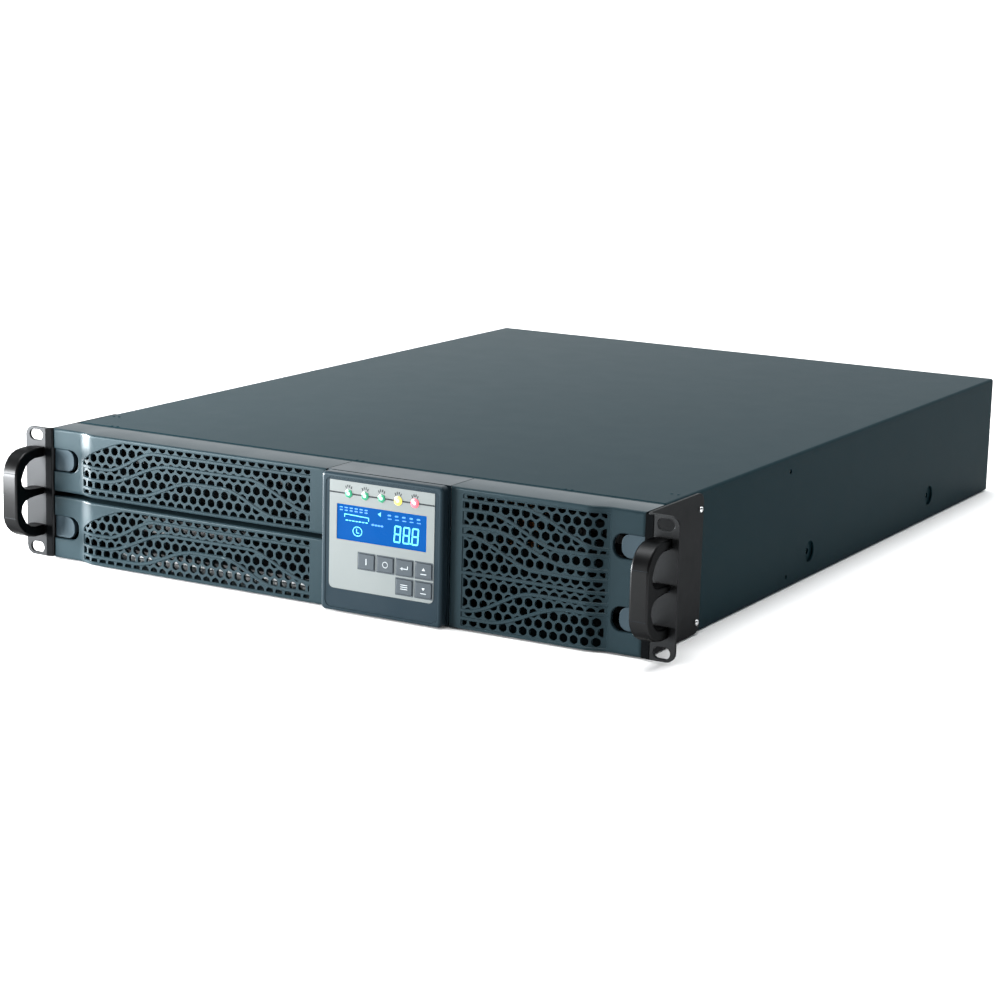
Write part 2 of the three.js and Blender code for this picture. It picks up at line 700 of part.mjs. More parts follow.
// Sealed battery on its side, with the lid seam and the two tabs on its outward face.
function battery(column, row) {
  const x0 = DRAWER_MIDDLE + (column - BATTERY_COLUMNS / 2) * (BATTERY.width + 1) + 0.5;
  const y0 = TRAY_Y[0] + 4 + row * (BATTERY.length + 1);
  const z0 = TRAY_FLOOR + SHEET + GAP;
  const x = [x0, x0 + BATTERY.width];
  const y = [y0, y0 + BATTERY.length];
  const block = slabZ(roundedRect(x, y, 3, 2), [z0, z0 + BATTERY.height]);
  const outward = column === 0 ? -1 : 1;
  const face = column === 0 ? x[0] : x[1];
  const seamX = face - outward * 9;
  const seam = box([seamX - 0.8, seamX + 0.8], [y[0] - 1, y[1] + 1], [z0 + BATTERY.height - 1, 90]);
  const tabs = [12, BATTERY.length - 12].map((along) => {
    const reach = [face - outward, face + outward * 5.5].sort((a, b) => a - b);
    return box(reach, [y0 + along - 3, y0 + along + 3], [z0 + 46, z0 + 47.5]);
  });
  return union([block.subtract(seam), ...tabs]);
}

function drawerFront() {
  const y = [COVER_FRONT - 3.2, COVER_FRONT - 1.7];
  const plate = box([DRAWER_LEFT, DRAWER_RIGHT], y, [8, HEIGHT - 8]);
  const vents = [];
  const pitch = (DRAWER_RIGHT - DRAWER_LEFT - 22) / 8;
  for (let i = 0; i < 8; i += 1) {
    const x = DRAWER_LEFT + 14 + i * pitch;
    vents.push(box([x, x + pitch - 8], [y[0] - 1, y[1] + 1], [66, 70]));
  }
  return plate.subtract(union(vents));
}

function drawerHandle() {
  const y = [COVER_FRONT - 17, COVER_FRONT - 3.5];
  const bar = box([DRAWER_MIDDLE - 41, DRAWER_MIDDLE + 41], y, [26, 36]);
  const gap = box([DRAWER_MIDDLE - 33, DRAWER_MIDDLE + 33], [y[0] + 4, y[1] + 1], [25, 37]);
  return bar.subtract(gap);
}

function addDrawer() {
  node("battery_tray", batteryTray(), "zinc");
  for (let column = 0; column < BATTERY_COLUMNS; column += 1) {
    for (let row = 0; row < BATTERY_ROWS; row += 1) {
      node("battery_" + (column * BATTERY_ROWS + row + 1), battery(column, row), "battery");
    }
  }
  node("drawer_front", drawerFront(), "steel");
  node("drawer_handle", drawerHandle(), "black");
}

// ---------------------------------------------------------------- electronics

const BOARD_Z = [8, 9.6];

function mainBoard() {
  const x = [4, 210];
  const y = [-240, 240];
  const board = box(x, y, BOARD_Z);
  const feet = [];
  for (const at of [x[0] + 6, x[1] - 6]) {
    for (const along of [y[0] + 8, 0, y[1] - 8]) {
      feet.push(post(3, at, along, [INNER_FLOOR, BOARD_Z[0] + 0.2], 10));
    }
  }
  return union([board, ...feet]);
}

function heatsink(x) {
  const y = [-90, 130];
  const z0 = BOARD_Z[1] + GAP;
  const fins = 8;
  const pieces = [box(x, y, [z0, z0 + 6])];
  const pitch = (x[1] - x[0] - 2) / (fins - 1);
  for (let i = 0; i < fins; i += 1) {
    const at = x[0] + i * pitch;
    pieces.push(box([at, at + 2], y, [z0 + 5, z0 + 56]));
  }
  return union(pieces);
}

function transformer() {
  const z0 = BOARD_Z[1] + GAP;
  const core = box([24, 92], [-226, -140], [z0, z0 + 60]);
  const windows = [[-212, -194], [-172, -154]].map((y) => {
    return box([20, 96], y, [z0 + 12, z0 + 48]);
  });
  const coil = box([16, 100], [-209, -157], [z0 + 15, z0 + 45]);
  return core.subtract(union(windows)).add(coil);
}

function capacitorBank() {
  const z0 = BOARD_Z[1] + GAP;
  const pieces = [box([112, 206], [-228, -134], [z0, z0 + 2])];
  for (const x of [130, 159, 188]) {
    for (const y of [-206, -158]) pieces.push(post(13, x, y, [z0 + 1, z0 + 52]));
  }
  return union(pieces);
}

function addElectronics() {
  node("main_board", mainBoard(), "board");
  node("heatsink_a", heatsink([20, 104]), "aluminium");
  node("heatsink_b", heatsink([114, 198]), "aluminium");
  node("transformer", transformer(), "winding");
  node("capacitor_bank", capacitorBank(), "black");
}

// ---------------------------------------------------------------- rear

const FAN_Y = [PANEL_Y[0] - GAP - FAN_DEPTH, PANEL_Y[0] - GAP];
const FAN_HUB = 16;

function fanFrame(centre) {
  const half = FAN_SIZE / 2;
  const shape = roundedRect([centre - half, centre + half], [MID_Z - half, MID_Z + half], 4, 2);
  const ring = slabY(shape, FAN_Y).subtract(
    rod(half - 2, centre, [FAN_Y[0] - 1, FAN_Y[1] + 1], MID_Z, 32),
  );
  const strutY = [FAN_Y[0], FAN_Y[0] + 3];
  const hub = rod(FAN_HUB, centre, strutY, MID_Z);
  const across = box([centre - half + 1, centre + half - 1], strutY, [MID_Z - 2, MID_Z + 2]);
  const up = box([centre - 2, centre + 2], strutY, [MID_Z - half + 1, MID_Z + half - 1]);
  return union([ring, hub, across, up]);
}

function fanRotor(centre) {
  const y = [FAN_Y[0] + 3.3, FAN_Y[1] - 2];
  const pieces = [rod(FAN_HUB, centre, y, MID_Z)];
  const blades = 7;
  const length = FAN_SIZE / 2 - 3.5 - (FAN_HUB - 1.5);
  for (let i = 0; i < blades; i += 1) {
    const blade = new THREE.BoxGeometry(length, 1.4, 15);
    blade.rotateX(THREE.MathUtils.degToRad(52));
    blade.translate(FAN_HUB - 1.5 + length / 2, 0, 0);
    blade.rotateY((i * 2 * Math.PI) / blades);
    blade.translate(centre, (y[0] + y[1]) / 2, MID_Z);
    pieces.push(solid(blade));
  }
  return union(pieces);
}

// Fascia on the outside of the rear panel with its body going in through the panel.
function fascia(x, z, depth) {
  const plate = slabY(roundedRect(x, z, 2, 2), [FASCIA, FASCIA + 2]);
  const body = box([x[0] + LIP, x[1] - LIP], [FASCIA - depth, FASCIA + 1], [z[0] + LIP, z[1] - LIP]);
  return plate.add(body);
}

// Appliance outlet: a shrouded recess around a block with three contact slots.
function outletCuts(x, z) {
  const mouth = FASCIA + 3;
  const shroud = roundedRect([x - 12.5, x + 12.5], [z - 8.5, z + 8.5], [0.5, 0.5, 5, 5], 1);
  const island = roundedRect([x - 9.3, x + 9.3], [z - 5.6, z + 5.6], [0.5, 0.5, 3.5, 3.5], 1);
  const ring = slabY(shroud, [FASCIA - 8, mouth]).subtract(slabY(island, [FASCIA - 9, mouth + 1]));
  const slots = [[-6, -1.5], [0, 1], [6, -1.5]].map(([dx, dz]) => {
    return box([x + dx - 1.1, x + dx + 1.1], [FASCIA - 6, mouth], [z + dz - 2.2, z + dz + 2.2]);
  });
  return union([ring, ...slots]);
}

function outletBlock(z) {
  const middle = (OUTLET_X[0] + OUTLET_X[1]) / 2;
  const centres = [-33, 0, 33].map((offset) => middle + offset);
  const cuts = centres.map((x) => outletCuts(x, (z[0] + z[1]) / 2));
  return fascia(OUTLET_X, z, 22).subtract(union(cuts));
}

// Appliance inlet: an open recess with three flat pins.
function acInlet() {
  const x = (INLET.x[0] + INLET.x[1]) / 2;
  const z = (INLET.z[0] + INLET.z[1]) / 2;
  const shape = roundedRect([x - 14, x + 14], [z - 9.5, z + 9.5], [0.5, 0.5, 5, 5], 1);
  const shell = fascia(INLET.x, INLET.z, 24).subtract(slabY(shape, [FASCIA - 18, FASCIA + 3]));
  const pins = [[-7.5, -2], [0, 2], [7.5, -2]].map(([dx, dz]) => {
    return box([x + dx - 1.2, x + dx + 1.2], [FASCIA - 19, FASCIA - 6], [z + dz - 3, z + dz + 3]);
  });
  return union([shell, ...pins]);
}

function batteryConnector() {
  const z = (BATTERY_PORT.z[0] + BATTERY_PORT.z[1]) / 2;
  const cuts = [-84, -64].map((x) => {
    return box([x - 7, x + 7], [FASCIA - 12, FASCIA + 3], [z - 7, z + 7]);
  });
  return fascia(BATTERY_PORT.x, BATTERY_PORT.z, 20).subtract(union(cuts));
}

const BREAKER_CENTRE = [(BREAKER.x[0] + BREAKER.x[1]) / 2, (BREAKER.z[0] + BREAKER.z[1]) / 2];

function breakerBody() {
  const bore = rod(5, BREAKER_CENTRE[0], [FASCIA - 14, FASCIA + 3], BREAKER_CENTRE[1]);
  return fascia(BREAKER.x, BREAKER.z, 20).subtract(bore);
}

function breakerButton() {
  return rod(4.7, BREAKER_CENTRE[0], [FASCIA - 12, FASCIA + 4], BREAKER_CENTRE[1]);
}

function expansionSlotCover() {
  const y = [FASCIA, FASCIA + SHEET];
  const plate = slabY(roundedRect(SLOT_COVER.x, SLOT_COVER.z, 1.5, 2), y);
  const middle = (SLOT_COVER.z[0] + SLOT_COVER.z[1]) / 2;
  const screws = [SLOT_COVER.x[0] + 5, SLOT_COVER.x[1] - 5].map((x) => {
    return rod(3.2, x, [y[0] + 0.5, y[1] + 4], middle, 12);
  });
  return union([plate, ...screws]);
}

// Small connector: a block let through the panel with a recessed mouth.
function socket(port, wall, depth) {
  const y = [FASCIA - depth - 3, FASCIA + 1.5];
  const mouth = box(
    [port.x[0] + wall, port.x[1] - wall],
    [FASCIA + 1.5 - depth, FASCIA + 3],
    [port.z[0] + wall, port.z[1] - wall],
  );
  return box(port.x, y, port.z).subtract(mouth);
}

function addRear() {
  ["left", "right"].forEach((side, i) => {
    node("fan_frame_" + side, fanFrame(FAN_CENTRES[i]), "black");
    node("fan_rotor_" + side, fanRotor(FAN_CENTRES[i]), "black");
  });
  node("outlet_block_lower", outletBlock(OUTLET_Z[0]), "black");
  node("outlet_block_upper", outletBlock(OUTLET_Z[1]), "black");
  node("ac_inlet", acInlet(), "black");
  node("battery_connector", batteryConnector(), "black");
  node("breaker_body", breakerBody(), "black");
  node("breaker_button", breakerButton(), "key");
  node("expansion_slot_cover", expansionSlotCover(), "zinc");
  node("usb_port", socket(USB, 1.6, 7), "zinc");
  node("serial_port", socket(SERIAL, 2.2, 6), "zinc");
}

addChassis();
addEars();
addBezels();
addDisplay();
addDrawer();
addElectronics();
addRear();

export default part;
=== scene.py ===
"""Looks of a rack-mount uninterruptible power supply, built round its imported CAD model.

Sizes are in millimetres and become metres when a mesh is made. The front faces -Y.
"""

import json
import math

import bmesh
import bpy
from mathutils import Matrix, Vector
from mathutils.geometry import delaunay_2d_cdt


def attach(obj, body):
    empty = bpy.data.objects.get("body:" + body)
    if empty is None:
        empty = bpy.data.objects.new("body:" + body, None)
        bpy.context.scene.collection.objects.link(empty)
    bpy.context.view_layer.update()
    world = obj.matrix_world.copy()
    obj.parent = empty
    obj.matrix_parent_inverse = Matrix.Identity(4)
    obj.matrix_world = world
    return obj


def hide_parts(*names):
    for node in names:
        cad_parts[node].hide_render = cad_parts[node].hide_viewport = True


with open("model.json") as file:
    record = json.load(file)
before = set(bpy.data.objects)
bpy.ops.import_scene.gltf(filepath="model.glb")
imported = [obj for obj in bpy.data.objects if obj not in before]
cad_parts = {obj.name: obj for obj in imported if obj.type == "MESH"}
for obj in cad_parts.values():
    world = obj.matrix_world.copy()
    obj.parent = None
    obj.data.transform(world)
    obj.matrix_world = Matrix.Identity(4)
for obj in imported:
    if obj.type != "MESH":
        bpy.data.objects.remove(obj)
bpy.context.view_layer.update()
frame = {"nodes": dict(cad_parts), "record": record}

MM = 0.001
FRONT = -300.0  # front face of the rack ears
HALF = 219.0  # half the chassis width
HEIGHT = 88.0
MID_Z = HEIGHT / 2
COVER_FRONT = -275.0
REAR = 300.0

BEZEL_MAIN = FRONT - 3  # Y of a bezel's face over most of its width
BEZEL_END = FRONT + 1.1  # Y of its face next to the ear
BEZEL_BACK = COVER_FRONT - 0.3
BEZEL_OUTER = HALF + 0.1
STEP = (182.5, 197.5)  # where the face runs back from one to the other
WALL = 2.2
RECESS = 0.55  # grille field behind the face
EDGE_RADIUS = 1.3

SLOT_END = 198.3  # inner end of a latch slot
SLOT_HALF = 7.6
LATCH_HALF = 7.25
LATCH_RECESS = 1.6
LATCH_OUTER = 218.9
LOWER_BEZEL_Z = 0.3
UPPER_BEZEL_Z = 45.4
LEFT_BEZEL_RISE = 42.3
LEFT_LATCH_RISE = 21.15
RIGHT_LATCHES = [65.5, 21.8]

HEX_ACROSS = 5.35
RIB_HALF = 1.15
RIB_SLOPE = 0.45

EAR_EDGE = 241.3
EAR_INSIDE = 219.4
EAR_BEND = 4.6
EAR_SHEET = 2.0
EAR_REACH = 74  # length of the flange along the chassis
EAR_Z = (0.5, 87.5)
EAR_SLOT_PITCH = 76.2
HANDLE_X = (225.1, 236.9)
GRIP_REACH = 29.3

HEAD_X = (1.6, 89.0)
HEAD_Z = (0.3, 87.7)
HEAD_FRONT = FRONT - 10
HEAD_BACK = FRONT - 3.8


# ---------------------------------------------------------------- small maths


def smooth(t):
    """0 to 1 with a soft start and end."""
    t = min(1.0, max(0.0, t))
    return t * t * (3 - 2 * t)


def lerp(a, b, t):
    return a + (b - a) * t


def steps(a, b, count):
    """count + 1 even values from a to b."""
    return [lerp(a, b, i / count) for i in range(count + 1)]


def rounded_rect(u, v, radii, segments=6):
    """Outline of a rectangle; radii go low-low, high-low, high-high and low-high."""
    if not isinstance(radii, (tuple, list)):
        radii = (radii,) * 4
    corners = (
        (u[0], v[0], 1, 1, math.pi),
        (u[1], v[0], -1, 1, -math.pi / 2),
        (u[1], v[1], -1, -1, 0.0),
        (u[0], v[1], 1, -1, math.pi / 2),
    )
    points = []
    for (cu, cv, su, sv, start), r in zip(corners, radii):
        if r == 0:
            points.append((cu, cv))
            continue
        for i in range(segments + 1):
            angle = start + i / segments * math.pi / 2
            points.append((cu + su * r + r * math.cos(angle), cv + sv * r + r * math.sin(angle)))
    return points


def circle(u, v, r, sides=24):
    return [
        (u + r * math.cos(2 * math.pi * i / sides), v + r * math.sin(2 * math.pi * i / sides))
        for i in range(sides)
    ]


def inset(points, distance):
    """The counter-clockwise outline moved inwards by the distance."""
    moved = []
    count = len(points)
    for i, (u, v) in enumerate(points):
        before, after = points[i - 1], points[(i + 1) % count]
        a = Vector((u - before[0], v - before[1])).normalized()
        b = Vector((after[0] - u, after[1] - v)).normalized()
        normal = Vector((-a.y - b.y, a.x + b.x))
        normal = normal.normalized() / max(0.5, math.sqrt((1 + a.dot(b)) / 2))
        moved.append((u + normal.x * distance, v + normal.y * distance))
    return moved


def distance_inside(points, u, v):
    """Distance from (u, v) to the outline, negative outside."""
    best = 1e9
    inside = False
    count = len(points)
    for i in range(count):
        (x0, y0), (x1, y1) = points[i], points[(i + 1) % count]
        dx, dy = x1 - x0, y1 - y0
        t = ((u - x0) * dx + (v - y0) * dy) / (dx * dx + dy * dy)
        t = min(1.0, max(0.0, t))
        best = min(best, math.hypot(u - x0 - t * dx, v - y0 - t * dy))
        if (y0 > v) != (y1 > v) and u < x0 + (v - y0) * dx / dy:
            inside = not inside
    return best if inside else -best


# ---------------------------------------------------------------- meshes


def finish_mesh(name, verts, faces, body, material, slot, smooth_angle=35):
    """Makes an object from points in millimetres and sets it on its body."""
    mesh = bpy.data.meshes.new(name)
    mesh.from_pydata([Vector(v) * MM for v in verts], [], faces)
    work = bmesh.new()
    work.from_mesh(mesh)
    bmesh.ops.recalc_face_normals(work, faces=work.faces)
    work.to_mesh(mesh)
    work.free()
    mesh.polygons.foreach_set("use_smooth", [True] * len(mesh.polygons))
    mesh.set_sharp_from_angle(angle=math.radians(smooth_angle))
    mesh.materials.append(material)
    obj = bpy.data.objects.new(name, mesh)
    bpy.context.scene.collection.objects.link(obj)
    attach(obj, body)
    return obj


def bevel(obj, width, segments=3, angle=35):
    """Rounds the edges sharper than the angle, by a width in millimetres."""
    mod = obj.modifiers.new("edges", "BEVEL")
    mod.width = width * MM
    mod.segments = segments
    mod.limit_method = "ANGLE"
    mod.angle_limit = math.radians(angle)
    mod.harden_normals = False
    return obj


def drop_slivers(triangles, holes, points, smallest=1.6):
    """Fills the tiny hole pieces that a rib leaves of a hexagon."""
    owner = {}
    for t in holes:
        tri = triangles[t]
        for i in range(3):
            owner.setdefault(frozenset((tri[i], tri[(i + 1) % 3])), []).append(t)
    near = {t: [] for t in holes}
    for pair in owner.values():
        if len(pair) == 2:
            near[pair[0]].append(pair[1])
            near[pair[1]].append(pair[0])
    kept, seen = set(), set()
    for start in sorted(holes):
        if start in seen:
            continue
        group, todo, area = [], [start], 0.0
        seen.add(start)
        while todo:
            t = todo.pop()
            group.append(t)
            a, b, c = (points[i] for i in triangles[t])
            area += abs((b - a).cross(c - a)) / 2
            for other in near[t]:
                if other not in seen:
                    seen.add(other)
                    todo.append(other)
        if area >= smallest:
            kept.update(group)
    return kept


def relief(
    border,
    front,
    back,
    windows=(),
    cuts=(),
    field=None,
    ribs=(),
    guides=(),
    rim=None,
):
    """Points and faces of a closed plate with holes.

    The border, the windows and the cuts are outlines in (u, v). Cuts count only inside the field
    and off the ribs. front(u, v) and back(u, v, in_rim) give the two skins, and in_rim is true
    outside the rim outline, where a plate can be deeper. The mesh follows the guide lines.
    """
    coords, edges, faces = [], [], []

    def add(points):
        first = len(coords)
        coords.extend(Vector(p) for p in points)
        faces.append(list(range(first, len(coords))))
        return len(faces) - 1

    border_id = add(border)
    window_ids = {add(w) for w in windows}
    cut_ids = {add(c) for c in cuts}
    field_id = add(field) if field else None
    rib_ids = {add(r) for r in ribs}
    rim_id = add(rim) if rim else None
    for line in guides:
        first = len(coords)
        coords.extend(Vector(p) for p in line)
        edges.extend((i, i + 1) for i in range(first, len(coords) - 1))
    points, _, triangles, _, _, origin = delaunay_2d_cdt(coords, edges, faces, 0, 1e-4, True)

    inside, holes, ringed = [], set(), set()
    for t, ids in enumerate(origin):
        ids = set(ids)
        if border_id not in ids or ids & window_ids:
            continue
        if (ids & cut_ids) and (field_id is None or field_id in ids) and not (ids & rib_ids):
            holes.add(t)
        if rim_id is not None and rim_id not in ids:
            ringed.add(t)
        inside.append(t)
    holes = drop_slivers(triangles, holes, points)
    solid = [t for t in inside if t not in holes]

    verts, index, quads = [], {}, []

    def corner(i, side):
        key = (i, side)
        if key not in index:
            u, v = points[i]
            index[key] = len(verts)
            verts.append(front(u, v) if side == 0 else back(u, v, side == 2))
        return index[key]

    sides = {}
    for t in solid:
        tri = triangles[t]
        layer = 2 if t in ringed else 1
        quads.append([corner(i, 0) for i in tri])
        quads.append([corner(i, layer) for i in reversed(tri)])
        for i in range(3):
            sides[(tri[i], tri[(i + 1) % 3])] = layer
    for (a, b), layer in sides.items():
        other = sides.get((b, a))
        if other is None:
            quads.append([corner(b, 0), corner(a, 0), corner(a, layer), corner(b, layer)])
        elif layer == 1 and other == 2:
            quads.append([corner(b, 1), corner(a, 1), corner(a, 2), corner(b, 2)])
    return verts, quads


def prism(outline, low, high, place):
    """Points and faces of an outline extruded from low to high; place(u, v, w) gives each point."""
    count = len(outline)
    verts = [place(u, v, low) for u, v in outline] + [place(u, v, high) for u, v in outline]
    faces = [list(range(count)), list(range(2 * count - 1, count - 1, -1))]
    faces += [[i, (i + 1) % count, count + (i + 1) % count, count + i] for i in range(count)]
    return verts, faces


def facing_front(u, v, w):
    """Outline in X and Z, extruded along Y."""
    return (u, w, v)


def facing_side(u, v, w):
    """Outline in Y and Z, extruded along X."""
    return (w, u, v)


def merge(*parts):
    """Several (points, faces) pairs as one."""
    verts, faces = [], []
    for part_verts, part_faces in parts:
        first = len(verts)
        verts.extend(part_verts)
        faces.extend([i + first for i in face] for face in part_faces)
    return verts, faces


def lathe(profile, centre, axis, sides=32):
    """Closed solid of revolution. The profile holds (radius, height) pairs from axis to axis."""
    axis = Vector(axis).normalized()
    across = axis.orthogonal().normalized()
    up = axis.cross(across)
    centre = Vector(centre)
    verts, rings = [], []
    for radius, height in profile:
        if radius == 0:
            rings.append([len(verts)])
            verts.append(centre + axis * height)
            continue
        rings.append(list(range(len(verts), len(verts) + sides)))
        for i in range(sides):
            angle = 2 * math.pi * i / sides
            verts.append(
                centre + axis * height + (across * math.cos(angle) + up * math.sin(angle)) * radius
            )
    faces = []
    for low, high in zip(rings, rings[1:]):
        for i in range(sides):
            j = (i + 1) % sides
            if len(low) == 1:
                faces.append([low[0], high[i], high[j]])
            elif len(high) == 1:
                faces.append([low[i], high[0], low[j]])
            else:
                faces.append([low[i], high[i], high[j], low[j]])
    return verts, faces


# ---------------------------------------------------------------- materials


def mix_colours(tree, factor, first, second):
    """The first colour at factor 0, the second at 1."""
    mix = tree.nodes.new("ShaderNodeMix")
    mix.data_type = "RGBA"
    mix.inputs["A"].default_value = (*first, 1)
    mix.inputs["B"].default_value = (*second, 1)
    tree.links.new(factor, mix.inputs["Factor"])
    return mix.outputs["Result"]


def noise(tree, scale, detail=4.0, roughness=0.55, stretch=(1, 1, 1)):
    """Noise in the object's own coordinates."""
    coords = tree.nodes.new("ShaderNodeTexCoord")
    mapping = tree.nodes.new("ShaderNodeMapping")
    mapping.inputs["Scale"].default_value = stretch
    texture = tree.nodes.new("ShaderNodeTexNoise")
    texture.inputs["Scale"].default_value = scale
    texture.inputs["Detail"].default_value = detail
    texture.inputs["Roughness"].default_value = roughness
    tree.links.new(coords.outputs["Object"], mapping.inputs["Vector"])
    tree.links.new(mapping.outputs["Vector"], texture.inputs["Vector"])
    return texture.outputs["Fac"]


def remap(tree, value, low, high, to_low, to_high):
    node = tree.nodes.new("ShaderNodeMapRange")
    node.inputs["From Min"].default_value = low
    node.inputs["From Max"].default_value = high
    node.inputs["To Min"].default_value = to_low
    node.inputs["To Max"].default_value = to_high
    tree.links.new(value, node.inputs["Value"])
    return node.outputs["Result"]


def surface(
    name,
    colour,
    rough=0.5,
    metal=0.0,
    vary=0.1,
    grain=1500.0,
    bump=0.1,
    stretch=(1, 1, 1),
    specular=0.5,
    emit=None,
    emit_strength=0.0,
    gloss_vary=0.05,
    tint=(1, 1, 1),
):
    """A surface with a cloudy colour variation, uneven gloss and a fine grain in its normal."""
    mat = bpy.data.materials.new(name)
    mat.use_nodes = True
    tree = mat.node_tree
    shader = tree.nodes["Principled BSDF"]
    darker = tuple(c * (1 - vary) for c in colour)
    lighter = tuple(min(1.0, c * (1 + vary)) for c in colour)
    cloud = remap(tree, noise(tree, 14.0), 0.3, 0.7, 0.0, 1.0)
    tree.links.new(mix_colours(tree, cloud, darker, lighter), shader.inputs["Base Color"])
    gloss = remap(tree, noise(tree, 45.0, 5.0), 0.3, 0.7, rough - gloss_vary, rough + gloss_vary)
    tree.links.new(gloss, shader.inputs["Roughness"])
    texture = noise(tree, grain, 3.0, 0.6, stretch)
    node = tree.nodes.new("ShaderNodeBump")
    node.inputs["Strength"].default_value = bump
    node.inputs["Distance"].default_value = 0.0002
    tree.links.new(texture, node.inputs["Height"])
    tree.links.new(node.outputs["Normal"], shader.inputs["Normal"])
    shader.inputs["Metallic"].default_value = metal
    shader.inputs["Specular IOR Level"].default_value = specular
    shader.inputs["Specular Tint"].default_value = (*tint, 1)
    if emit:
        shader.inputs["Emission Color"].default_value = (*emit, 1)
        shader.inputs["Emission Strength"].default_value = emit_strength
    return mat


COOL_TINT = (0.72, 0.92, 1.0)

CASE = surface(
    "case_powder_coat", (0.006, 0.020, 0.026), 0.40, vary=0.02, grain=1400, bump=0.15,
    specular=0.010, gloss_vary=0.008,
)
EAR = surface(
    "ear_black_steel", (0.020, 0.021, 0.022), 0.40, metal=1.0, vary=0.05, grain=1400, bump=0.1,
    tint=(0.5, 0.5, 0.5),
)
BEZEL = surface(
    "bezel_moulding", (0.011, 0.021, 0.026), 0.34, vary=0.03, grain=2200, bump=0.1,
    specular=0.09, gloss_vary=0.02, tint=COOL_TINT,
)
HEAD = surface(
    "head_moulding", (0.010, 0.018, 0.024), 0.34, vary=0.03, grain=2200, bump=0.1,
    specular=0.09, gloss_vary=0.02, tint=COOL_TINT,
)
LATCH = surface(
    "latch_moulding", (0.023, 0.037, 0.048), 0.42, vary=0.03, grain=2200, bump=0.1,
    specular=0.2, tint=COOL_TINT,
)
HANDLE = surface(
    "handle_satin_black", (0.018, 0.0185, 0.019), 0.32, metal=1.0, vary=0.08, grain=1800, bump=0.1,
    tint=(0.45, 0.45, 0.45),
)
OVERLAY = surface(
    "overlay_film", (0.008, 0.015, 0.021), 0.35, vary=0.04, grain=3000, bump=0.05,
    specular=0.09, tint=COOL_TINT,
)
LABEL = surface(
    "label_film", (0.115, 0.132, 0.132), 0.40, vary=0.03, grain=3500, bump=0.05, specular=0.25,
)
PRINT = surface(
    "label_print", (0.008, 0.011, 0.014), 0.4, vary=0.1, grain=3000, bump=0.05, specular=0.1,
)
KEY = surface(
    "key_moulding", (0.030, 0.040, 0.048), 0.45, vary=0.05, grain=3000, bump=0.1, specular=0.15,
)
KEY_PRINT = surface("key_print", (0.34, 0.38, 0.40), 0.5, vary=0.05, grain=3000, bump=0.05)
LCD = surface(
    "lcd_backlight", (0.001, 0.020, 0.085), 0.3, vary=0.15, grain=900, bump=0.02,
    specular=0.02, emit=(0.0, 0.13, 0.52), emit_strength=0.55,
)
SEGMENT = surface(
    "lcd_segment", (0.05, 0.42, 0.62), 0.3, vary=0.05, grain=2000, bump=0.02,
    emit=(0.02, 0.42, 0.75), emit_strength=0.55,
)
FAINT = surface(
    "lcd_faint_segment", (0.01, 0.14, 0.45), 0.3, vary=0.2, grain=2000, bump=0.02,
    emit=(0.0, 0.17, 0.62), emit_strength=0.55,
)
# Painted shade: near-black matt surface that stands in for shadow, in the ear gaps and behind the
# grilles.
PAINTED_SHADE = surface(
    "matt_black_liner", (0.002, 0.0025, 0.003), 0.8, vary=0.1, grain=1500, bump=0.1,
    specular=0.02,
)
BLACK = surface("black_moulding", (0.018, 0.018, 0.020), 0.45, vary=0.12, grain=1800, bump=0.2)
ZINC = surface("zinc_plate", (0.34, 0.355, 0.365), 0.38, 0.9, 0.1, 900, 0.12, (1, 18, 18))
BRIGHT = surface("bright_screw", (0.72, 0.73, 0.74), 0.22, 1.0, 0.06, 2500, 0.1)
ALUMINIUM = surface(
    "heatsink_aluminium", (0.62, 0.63, 0.65), 0.36, 0.95, 0.06, 900, 0.15, (20, 1, 20)
)
BOARD = surface("solder_mask", (0.015, 0.12, 0.05), 0.3, vary=0.15, grain=700, bump=0.3)
WINDING = surface("copper_winding", (0.42, 0.19, 0.07), 0.35, 0.5, 0.2, 600, 0.5, (1, 30, 1))
BATTERY = surface("battery_case", (0.030, 0.033, 0.037), 0.5, vary=0.12, grain=900, bump=0.3)


def lamp_material(name, colour, strength):
    return surface(
        name, colour, 0.25, vary=0.05, grain=2500, bump=0.03, emit=colour, emit_strength=strength
    )


GREEN = lamp_material("lamp_green", (0.0, 0.15, 0.07), 0.25)
YELLOW = lamp_material("lamp_yellow", (0.55, 0.45, 0.06), 0.4)
RED = lamp_material("lamp_red", (0.75, 0.07, 0.10), 0.45)
CORE_GREEN = lamp_material("lamp_core_green", (0.55, 0.95, 0.75), 0.9)
CORE_YELLOW = lamp_material("lamp_core_yellow", (0.95, 0.92, 0.55), 0.9)
CORE_RED = lamp_material("lamp_core_red", (1.0, 0.72, 0.72), 0.9)


# ---------------------------------------------------------------- camera and lights


def add_camera(azimuth, elevation, roll, lens, place):
    """Camera at a place, looking from the azimuth (0 is the front) and elevation, in degrees."""
    az, el, turn = (math.radians(a) for a in (azimuth, elevation, roll))
    back = Vector((math.sin(az) * math.cos(el), -math.cos(az) * math.cos(el), math.sin(el)))
    right = Vector((0, 0, 1)).cross(back).normalized()
    up = back.cross(right)
    across = right * math.cos(turn) + up * math.sin(turn)
    upward = up * math.cos(turn) - right * math.sin(turn)
    data = bpy.data.cameras.new("camera")
    data.lens = lens
    data.sensor_width = 36
    data.clip_end = 200
    camera = bpy.data.objects.new("camera", data)
    turned = Matrix((across, upward, back)).transposed().to_4x4()
    camera.matrix_world = Matrix.Translation(place) @ turned
    bpy.context.scene.collection.objects.link(camera)
    bpy.context.scene.camera = camera


